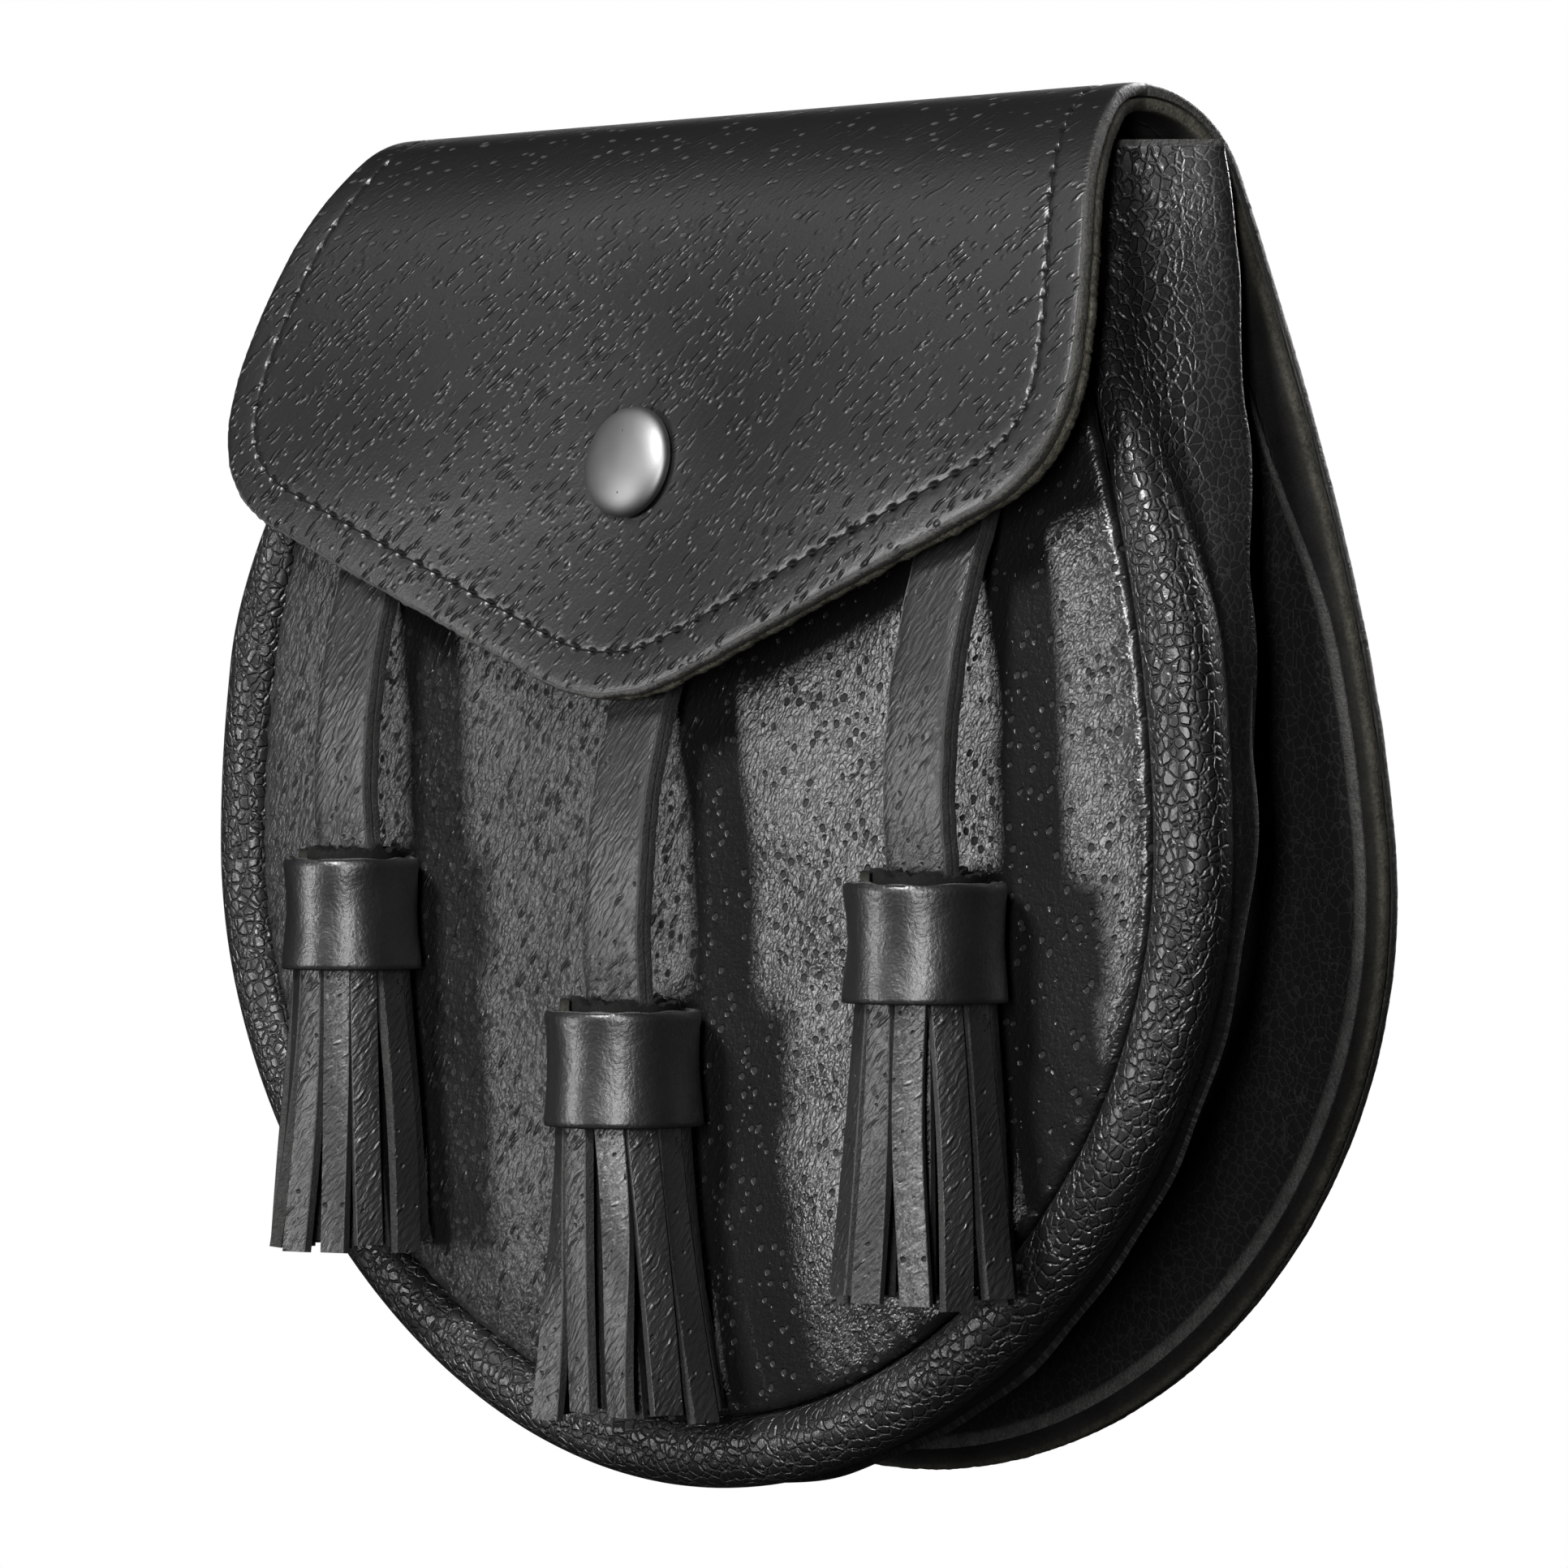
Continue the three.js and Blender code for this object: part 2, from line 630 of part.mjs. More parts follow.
// A strap of two plies, sewn to the panel at its head and gripped by the collar at its foot.
function strap({ across, anchor, drop, girth }) {
  const head = anchor * PANEL_TOP
  const foot = -drop * BACK_LENGTH - STRAP_GRIP
  const curve = new THREE.SplineCurve(STRAP_BOW.map(({ down, out }) => new THREE.Vector2(
    THREE.MathUtils.lerp(STRAP_REST, tasselY(girth), out),
    THREE.MathUtils.lerp(head, foot, down),
  )))
  return gridWall(STRAP_STEPS, 1, (row, column, side) => {
    const place = curve.getPoint(row / STRAP_STEPS)
    const run = curve.getTangent(row / STRAP_STEPS)
    const shift = (0.5 - side) * STRAP_THICK
    const x = across * BACK_HALF + (column - 0.5) * STRAP_WIDTH
    return new THREE.Vector3(x, place.x + run.y * shift, place.y - run.x * shift)
  })
}

// The leather collar round a tassel, a waisted ring with a rolled top.
function collarRing(girth) {
  const radius = girth * COLLAR_RADIUS
  const inner = radius - COLLAR_WALL
  const waist = radius - COLLAR_WAIST
  const profile = [
    new THREE.Vector2(inner, -COLLAR_HEIGHT),
    new THREE.Vector2(radius, -COLLAR_HEIGHT),
    new THREE.Vector2(waist, -0.6 * COLLAR_HEIGHT),
    new THREE.Vector2(waist, -0.3 * COLLAR_HEIGHT),
    new THREE.Vector2(waist, -0.08 * COLLAR_HEIGHT),
    new THREE.Vector2(inner + 0.5 * COLLAR_WALL, 0),
    new THREE.Vector2(inner, -0.06 * COLLAR_HEIGHT),
    new THREE.Vector2(inner, -COLLAR_HEIGHT),
  ]
  const ring = new THREE.LatheGeometry(profile, COLLAR_SIDES)
  ring.rotateX(Math.PI / 2)
  return ring
}

// One strip of the fringe, flared outwards towards its end and never past the panel.
function fringeStrip(order, girth, lean) {
  const angle = (2 * Math.PI * (order + 0.5)) / STRIP_COUNT
  const root = girth * COLLAR_RADIUS - COLLAR_WALL - 2 * GAP - STRIP_THICK / 2
  const length = FRINGE_LENGTH * (1 - STRIP_RAGGED * (1 - Math.sin(2.4 * order)))
  const rings = [-0.1 * COLLAR_HEIGHT, 0.25 * length, 0.6 * length, length].map((down) => {
    const spread = Math.max(down / FRINGE_LENGTH, 0) ** FLARE_POWER
    const flare = Math.sin(angle) < 0 ? FLARE_FRONT : 0
    const x = Math.cos(angle) * (root + FLARE_SIDE * spread) + lean * COLLAR_RADIUS * spread
    const y = Math.sin(angle) * (root + flare * spread)
    const ring = []
    for (const [wide, deep] of [[-1, -1], [1, -1], [1, 1], [-1, 1]]) {
      const across = (wide * STRIP_WIDTH) / 2
      const through = (deep * STRIP_THICK) / 2
      ring.push(new THREE.Vector3(
        x - Math.sin(angle) * across + Math.cos(angle) * through,
        y + Math.cos(angle) * across + Math.sin(angle) * through,
        -COLLAR_HEIGHT - down,
      ))
    }
    return ring
  })
  return ringBar(rings)
}

// The rolled core with its strips, fused into one body below the strap's end.
function fringe({ girth, lean }) {
  const top = -STRAP_GRIP - GAP
  const foot = -COLLAR_HEIGHT - CORE_DEPTH
  const radius = girth * COLLAR_RADIUS - COLLAR_WALL - GAP
  const core = new THREE.CylinderGeometry(radius, radius, top - foot, ROUND_SIDES)
  core.rotateX(Math.PI / 2)
  core.translate(0, 0, (top + foot) / 2)
  let body = toSolid(core)
  for (let order = 0; order < STRIP_COUNT; order += 1) {
    body = body.add(toSolid(fringeStrip(order, girth, lean)))
  }
  return toGeometry(body)
}

// A loop on the back: two feet on the leather and a bridge that stands off it.
function beltLoop() {
  const reach = LOOP_SLOT / 2
  const foot = reach + LOOP_FOOT
  const slant = LOOP_CLEAR / 2
  const shape = new THREE.Shape()
  shape.moveTo(GAP, -foot)
  shape.lineTo(GAP + LOOP_THICK, -foot)
  shape.lineTo(GAP + LOOP_THICK, -reach - LOOP_THICK)
  shape.lineTo(LOOP_CLEAR + LOOP_THICK, -reach - LOOP_THICK + slant)
  shape.lineTo(LOOP_CLEAR + LOOP_THICK, reach + LOOP_THICK - slant)
  shape.lineTo(GAP + LOOP_THICK, reach + LOOP_THICK)
  shape.lineTo(GAP + LOOP_THICK, foot)
  shape.lineTo(GAP, foot)
  shape.lineTo(GAP, reach)
  shape.lineTo(LOOP_CLEAR, reach - slant)
  shape.lineTo(LOOP_CLEAR, -reach + slant)
  shape.lineTo(GAP, -reach)
  shape.closePath()
  const loop = new THREE.ExtrudeGeometry(shape, { depth: LOOP_WIDTH, bevelEnabled: false })
  loop.translate(0, 0, -LOOP_WIDTH / 2)
  loop.applyMatrix4(new THREE.Matrix4().makeBasis(
    new THREE.Vector3(0, 1, 0),
    new THREE.Vector3(0, 0, 1),
    new THREE.Vector3(1, 0, 0),
  ))
  return loop
}

const pouch = new THREE.Group()

// A named piece of the pouch.
function addPiece(name, geometry, material) {
  const mesh = new THREE.Mesh(geometry, material.clone())
  mesh.name = name
  pouch.add(mesh)
  return mesh
}

addPiece('back_and_flap', drilledPly(0, OUTER_PLY), LEATHER)
addPiece('flap_lining', drilledPly(OUTER_PLY + GAP, LINING_PLY), LEATHER)
addPiece('front_panel', frontPanel(), LEATHER)
addPiece('rolled_edge', rolledEdge(), LEATHER)
addPiece('gusset', gusset(), LEATHER)
alongSnap(addPiece('snap_cap', snapCap(), METAL))

const stud = addPiece('snap_stud', snapStud(), METAL)
stud.rotation.x = Math.PI
stud.position.set(0, panelY(0, SNAP_Z) - GAP, SNAP_Z)

for (const tassel of TASSELS) {
  addPiece(`strap_${tassel.name}`, strap(tassel), LEATHER)
  const collar = addPiece(`collar_${tassel.name}`, collarRing(tassel.girth), LEATHER)
  collar.position.set(
    tassel.across * BACK_HALF,
    tasselY(tassel.girth),
    -tassel.drop * BACK_LENGTH,
  )
  const tail = addPiece(`fringe_${tassel.name}`, fringe(tassel), LEATHER)
  tail.position.copy(collar.position)
}

// The hanging point is midway between the loops on the rear face of the back.
const HANG_RUN = BACK_ARC + (fold(BACK_ARC, 0).z - HANG_Z) / Math.cos(radians(BACK_LEAN))
const HANG_Y = fold(HANG_RUN, 0).y

for (const [name, side] of [['left', -1], ['right', 1]]) {
  const loop = addPiece(`belt_loop_${name}`, beltLoop(), LEATHER)
  loop.rotation.x = radians(BACK_LEAN)
  loop.position.set(side * LOOP_SPACING / 2, HANG_Y, HANG_Z)
}

pouch.position.set(0, -HANG_Y, -HANG_Z)

const group = new THREE.Group()
group.add(pouch)

export default group
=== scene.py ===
"""A black leather sporran pouch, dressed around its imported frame.

Shapes are worked out in millimetres round a datum in the pouch, +X to the viewer's right, -Y
towards the viewer and +Z up, and are moved to the frame's origin in metres when a mesh is made.
"""

import math

import bmesh
import bpy
import numpy as np
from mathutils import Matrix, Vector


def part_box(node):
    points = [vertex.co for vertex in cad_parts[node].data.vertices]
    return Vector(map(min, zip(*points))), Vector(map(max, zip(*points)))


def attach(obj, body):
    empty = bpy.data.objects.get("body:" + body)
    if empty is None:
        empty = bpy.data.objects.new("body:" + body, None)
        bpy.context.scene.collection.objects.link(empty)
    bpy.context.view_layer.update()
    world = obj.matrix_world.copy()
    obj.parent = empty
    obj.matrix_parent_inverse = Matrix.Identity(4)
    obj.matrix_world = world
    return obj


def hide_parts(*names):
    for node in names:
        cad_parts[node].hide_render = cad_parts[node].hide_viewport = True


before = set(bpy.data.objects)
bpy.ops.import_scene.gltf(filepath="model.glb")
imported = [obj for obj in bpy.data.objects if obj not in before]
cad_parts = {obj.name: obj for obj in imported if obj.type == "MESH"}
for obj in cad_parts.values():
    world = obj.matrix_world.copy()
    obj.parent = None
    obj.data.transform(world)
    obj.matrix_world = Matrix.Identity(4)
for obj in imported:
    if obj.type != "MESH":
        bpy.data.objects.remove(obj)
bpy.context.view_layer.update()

MM = 0.001

# The fold over the top, measured on the outer face of the leather.
CREST_Y = 13.8
CREST_Z = 78.8
FOLD_RADIUS = 13.0
BACK_LEAN = math.radians(6.2)
FLAP_BENDS = [(1.0, 42), (3.08, 25), (12.3, 10), (6.9, 7)]
BACK_ARC = FOLD_RADIUS * (math.pi / 2 - BACK_LEAN)
HANG_Z = 40.0

# The blank that makes back and flap, measured from the crest along the leather.
CREST_HALF = 68.4
FLAP_HALF = 78.3
FLAP_LENGTH = 90.3
FLAP_SLOPE = 0.4
FLAP_CORNER = 13.0
FLAP_TIP = 6.7
BACK_HALF = 92.2
BACK_WIDEST = 107.2
BACK_LENGTH = 193.4
OUTER_PLY = 1.8
LINING_PLY = 1.7
GAP = 0.3
STITCH_INSET = 6.0
STITCH_COLUMNS = 8
HOLE_DEPTH = 0.9
BACK_FRAY = 0.3
BLANK_STEPS = 1680

# The front, its rolled edge and the gusset.
EDGE_BAND = 9.8
FRONT_NARROWING = 3.0
SEAM_Y = -2.0
SEAM_RECESS = 6.5
RECESS_START = 5.0
PANEL_TOP = 58.0
PANEL_PROUD = 1.0
PANEL_ROLL = 12.0
PANEL_WALL = 2.0
ROLL_HALF_WIDTH = 4.7
ROLL_HALF_DEPTH = 4.2
ROLL_SETBACK = 2.6
ROLL_TOP = 56.0
ROLL_TAPER = 0.55
GUSSET_TOP = 71.2
GUSSET_DEPTH = 22.0
GUSSET_WALL = 1.3
SEAM_INSET = 19.0
FLANGE_INSET = 2.6
RIDGE_ALONG = [0, 0.2, 0.36, 0.54, 0.64, 0.74, 0.84, 0.93, 1]
RIDGE_DEPTH = [0.63, 0.57, 0.55, 0.54, 0.54, 0.62, 0.81, 0.95, 0.97]
RIDGE_INSET = [0.1, 0.2, 0.32, 0.34, 0.23, 0.11, 0.05, -0.16, -0.38]

# The snap, the straps and the tassels.
SNAP_Z = 30.8
SNAP_RADIUS = 7.5
SNAP_DOME = 2.6
SNAP_PULL = 3.6
PULL_REACH = 28.0
STRAP_WIDTH = 10.4
STRAP_THICK = 2.8
STRAP_GRIP = 6.0
COLLAR_RADIUS = 10.6
COLLAR_HEIGHT = 15.3
COLLAR_WALL = 1.6
COLLAR_WAIST = 0.5
FRINGE_LENGTH = 38.6
STRIP_THICK = 1.7
OUTER_STRIPS = 12
INNER_STRIPS = 6
BOW_DOWN = [0, 0.16, 0.34, 0.55, 0.75, 0.9, 1]
BOW_OUT = [0, 0.1, 0.6, 1.0, 1.13, 1.07, 1]
TASSELS = [
    {"name": "left", "across": -0.567, "anchor": 0.655, "drop": 0.114, "girth": 0.9, "lean": 0.0},
    {"name": "middle", "across": 0.013, "anchor": 0.38, "drop": 0.215, "girth": 1.0, "lean": 0.34},
    {"name": "right", "across": 0.6, "anchor": 0.655, "drop": 0.124, "girth": 1.0, "lean": 0.06},
]

# The loops on the back.
LOOP_SPACING = 90.0
LOOP_WIDTH = 22.0
LOOP_SLOT = 32.0
LOOP_CLEAR = 8.0
LOOP_THICK = 2.2
LOOP_FOOT = 9.0


def ease(value, low, high):
    """Smoothstep: 0 below low, 1 above high, and 3t2 - 2t3 between."""
    t = np.clip((value - low) / (high - low), 0, 1)
    return t * t * (3 - 2 * t)


def mix(a, b, share):
    """The value a share of the way from a to b."""
    return a + (b - a) * share


def ripple(places, wavelength, seed, waves=9):
    """Smooth noise of about unit size: the mean of sine waves of seeded directions and phases.
    Places has one column per coordinate."""
    rng = np.random.default_rng(seed)
    places = np.atleast_2d(np.asarray(places, float))
    aim = rng.normal(size=(places.shape[-1], waves))
    aim *= rng.uniform(0.6, 1.5, waves) / np.linalg.norm(aim, axis=0)
    phase = rng.uniform(0, 2 * math.pi, waves)
    return np.sin(places @ aim * (2 * math.pi / wavelength) + phase).sum(-1) / math.sqrt(waves)


def bezier(points, count=60):
    """A Bezier curve: its points weighted by Bernstein shares of the parameter."""
    t = np.linspace(0, 1, count)[:, None]
    last = len(points) - 1
    return sum(
        math.comb(last, k) * t**k * (1 - t) ** (last - k) * np.array(point, float)
        for k, point in enumerate(points)
    )


def even(points, count):
    """The polyline walked in equal steps: each coordinate read at equal shares of its length."""
    step = np.linalg.norm(np.diff(points, axis=0), axis=1)
    walked = np.concatenate([[0], np.cumsum(step)])
    keep = np.concatenate([[True], step > 1e-9])
    share = np.linspace(0, walked[-1], count)
    return np.stack([np.interp(share, walked[keep], column[keep]) for column in points.T], axis=1)


def through(knots, count):
    """Weights of a Catmull-Rom curve through knots control rows, at count even places."""
    place = np.linspace(0, knots - 1, count)
    cell = np.minimum(place.astype(int), knots - 2)
    t = place - cell
    shares = [
        (-t + 2 * t**2 - t**3) / 2,
        (2 - 5 * t**2 + 3 * t**3) / 2,
        (t + 4 * t**2 - 3 * t**3) / 2,
        (-(t**2) + t**3) / 2,
    ]
    weights = np.zeros((count, knots))
    for offset, share in enumerate(shares):
        column = np.clip(cell + offset - 1, 0, knots - 1)
        np.add.at(weights, (np.arange(count), column), share)
    return weights


def fold(run, depth):
    """A point on the folded leather: the run from the crest is bent through arcs one after
    another, then straight on, and depth is how far in from the outer face, along the normal."""
    run, depth = np.broadcast_arrays(np.asarray(run, float), np.asarray(depth, float))
    front = run < 0
    left = np.abs(run)
    heading = np.zeros(run.shape)
    y = np.zeros(run.shape)
    z = np.zeros(run.shape)
    back_bends = [(1.0, 90 - math.degrees(BACK_LEAN))] + [(1.0, 0)] * (len(FLAP_BENDS) - 1)
    for (flap_radius, flap_turn), (back_radius, back_turn) in zip(FLAP_BENDS, back_bends):
        radius = np.where(front, flap_radius, back_radius) * FOLD_RADIUS
        turn = np.minimum(left / radius, np.radians(np.where(front, flap_turn, back_turn)))
        y += radius * (np.sin(heading + turn) - np.sin(heading))
        z -= radius * (np.cos(heading) - np.cos(heading + turn))
        heading = heading + turn
        left = left - turn * radius
    y += left * np.cos(heading)
    z -= left * np.sin(heading)
    side = np.where(front, -1, 1)
    return (
        CREST_Y + side * (y - depth * np.sin(heading)),
        CREST_Z + z - depth * np.cos(heading),
    )


HANG_RUN = BACK_ARC + (float(fold(BACK_ARC, 0)[1]) - HANG_Z) / math.cos(BACK_LEAN)
HANG = np.array([0, float(fold(HANG_RUN, 0)[0]), HANG_Z])


def flap_half():
    """Right half of the flap's outline as across and run, from its tip to the crest."""
    corner = FLAP_LENGTH + (FLAP_TIP - FLAP_HALF) * FLAP_SLOPE
    shoulder = corner - FLAP_CORNER
    tip_end = (2 * FLAP_TIP, FLAP_LENGTH - FLAP_TIP * FLAP_SLOPE)
    slope_end = (FLAP_HALF - FLAP_CORNER, corner + FLAP_CORNER * FLAP_SLOPE)
    waist = [(FLAP_HALF, 0.68 * shoulder), (CREST_HALF, 0.24 * shoulder)]
    curves = [
        [(0, FLAP_LENGTH), (FLAP_TIP, FLAP_LENGTH), tip_end],
        [tip_end, slope_end],
        [slope_end, (FLAP_HALF, corner), (FLAP_HALF, shoulder)],
        [(FLAP_HALF, shoulder), *waist, (CREST_HALF, 0)],
    ]
    return np.concatenate([bezier(curve) for curve in curves]) * [1, -1]


def back_half():
    """Right half of the back's outline as across and run, from the crest to its foot."""
    third = BACK_WIDEST / 3
    drop = BACK_LENGTH - BACK_WIDEST
    widest = (BACK_HALF, BACK_WIDEST)
    upper = [(CREST_HALF, 0), (CREST_HALF + 0.3 * third, third), (BACK_HALF, 2 * third), widest]
    lower = [widest, (BACK_HALF, BACK_WIDEST + 0.52 * drop), (0.52 * BACK_HALF, BACK_LENGTH)]
    return np.concatenate([bezier(upper), bezier(lower + [(0, BACK_LENGTH)])])


def mirrored(half, count):
    """A closed loop, anticlockwise from the lowest point on the axis: a right half and its
    mirror image."""
    right = even(half, count // 2 + 1)
    return np.concatenate([right, right[-2:0:-1] * [-1, 1]])


def unit(vectors):
    """Vectors brought to length 1."""
    return vectors / np.linalg.norm(vectors, axis=-1)[..., None]


def inward(loop):
    """Unit normals into an anticlockwise loop, from the differences of its neighbours."""
    run = unit(sum(np.roll(loop, -k, axis=0) - np.roll(loop, k, axis=0) for k in (1, 2)))
    return np.stack([-run[:, 1], run[:, 0]], axis=1)


def new_piece(name, points, quads, triangles, finish, sheet=None, raw=None, crease=40):
    """A mesh piece from points in millimetres. Sheet is where each point lies in the flat
    leather, and raw is 1 where a cut edge shows."""
    mesh = bpy.data.meshes.new(name)
    placed = (np.asarray(points, float).reshape(-1, 3) - HANG) * MM
    faces = np.asarray(quads, int).reshape(-1, 4).tolist()
    faces += np.asarray(triangles, int).reshape(-1, 3).tolist()
    mesh.from_pydata(placed.tolist(), [], faces)
    if sheet is not None:
        flat = np.zeros((len(placed), 3))
        flat[:, :2] = np.asarray(sheet, float).reshape(-1, 2)
        mesh.attributes.new("sheet", "FLOAT_VECTOR", "POINT").data.foreach_set("vector", flat.ravel())
    if raw is not None:
        cut = np.asarray(raw, float).ravel()
        mesh.attributes.new("raw", "FLOAT", "POINT").data.foreach_set("value", cut)
    work = bmesh.new()
    work.from_mesh(mesh)
    bmesh.ops.remove_doubles(work, verts=work.verts, dist=2e-6)
    bmesh.ops.recalc_face_normals(work, faces=work.faces)
    work.to_mesh(mesh)
    work.free()
    mesh.shade_smooth()
    mesh.set_sharp_from_angle(angle=math.radians(crease))
    mesh.materials.append(finish)
    piece = bpy.data.objects.new(name, mesh)
    bpy.context.scene.collection.objects.link(piece)
    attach(piece, "root")
    return piece


def band_faces(rows, columns, closed_rows=False, closed_columns=False):
    """Quads of a grid of rows by columns, joined round where a direction is closed."""
    row = np.arange(rows if closed_rows else rows - 1)
    column = np.arange(columns if closed_columns else columns - 1)
    row, column = [part.ravel() for part in np.meshgrid(row, column, indexing="ij")]
    below = (row + 1) % rows
    beside = (column + 1) % columns
    return np.stack(
        [row * columns + column, row * columns + beside, below * columns + beside, below * columns + column],
        axis=1,
    )


def wall_faces(rows, columns):
    """Quads of a closed wall: an outer and an inner grid, and the four borders between them."""
    face = band_faces(rows, columns)
    size = rows * columns
    grid = np.arange(size).reshape(rows, columns)
    rim = np.concatenate([grid[0, :-1], grid[:-1, -1], grid[-1, :0:-1], grid[:0:-1, 0]])
    following = np.roll(rim, -1)
    border = np.stack([rim, following, following + size, rim + size], axis=1)
    return np.concatenate([face, face[:, ::-1] + size, border])


def bars(name, centre, across, out, section, finish, sheet=None, raw=None, crease=40, bow=0.0):
    """Bars carried along paths: centre, across and out are [bar, step, 3] arrays, and each ring
    is centre + section x * across + section y * out, closed at both ends by its middle point.
    Raw marks the section's points that are cut edge. Bow bends the section: it falls back
    along out as the square of x."""
    count, steps, _ = centre.shape
    sides = len(section)
    rise = section[:, 1] - np.asarray(bow)[..., None] * section[:, 0] ** 2
    ring = centre[:, :, None] + section[:, 0, None] * across[:, :, None]
    ring = ring + rise[..., None] * out[:, :, None]
    starts = np.arange(count) * steps * sides
    quads = band_faces(steps, sides, closed_columns=True)[None] + starts[:, None, None]
    k = np.arange(sides)
    following = (k + 1) % sides
    middles = count * steps * sides + np.arange(2 * count).reshape(count, 2)
    first, last = starts[:, None], starts[:, None] + (steps - 1) * sides
    head = [middles[:, :1], first + following, first + k]
    tail = [middles[:, 1:], last + k, last + following]
    caps = [np.stack(np.broadcast_arrays(*cap), axis=-1) for cap in (head, tail)]

    def with_ends(rings, size):
        """Values at the rings, then their means at the two ends of each bar."""
        ends = rings[:, [0, -1]].mean(axis=2)
        return np.concatenate([rings.reshape(-1, size), ends.reshape(-1, size)])

    flat = None if sheet is None else with_ends(sheet, 2)
    cut = None
    if raw is not None:
        cut = np.concatenate([np.broadcast_to(raw, ring.shape[:3]).ravel(), np.ones(2 * count)])
    return new_piece(name, with_ends(ring, 3), quads, caps, finish, flat, cut, crease)


class Value:
    """A node's output. Arithmetic on it adds Math nodes to its finish."""

    def __init__(self, finish, socket):
        self.finish = finish
        self.socket = socket

    def joined(self, operation, first, second):
        """A Math node on two numbers or values."""
        return self.finish.node("ShaderNodeMath", {"operation": operation}, {0: first, 1: second})

    def __add__(self, other):
        return self.joined("ADD", self, other)

    def __radd__(self, other):
        return self.joined("ADD", other, self)

    def __sub__(self, other):
        return self.joined("SUBTRACT", self, other)

    def __rsub__(self, other):
        return self.joined("SUBTRACT", other, self)

    def __mul__(self, other):
        return self.joined("MULTIPLY", self, other)

    def __rmul__(self, other):
        return self.joined("MULTIPLY", other, self)

    def eased(self, low, high):
        """Smoothstep of the value between low and high. High may be below low."""
        ends = {1: low, 2: high, 3: 0.0, 4: 1.0} if low < high else {1: high, 2: low, 3: 1.0, 4: 0.0}
        smooth = {"interpolation_type": "SMOOTHSTEP"}
        return self.finish.node("ShaderNodeMapRange", smooth, {0: self, **ends})


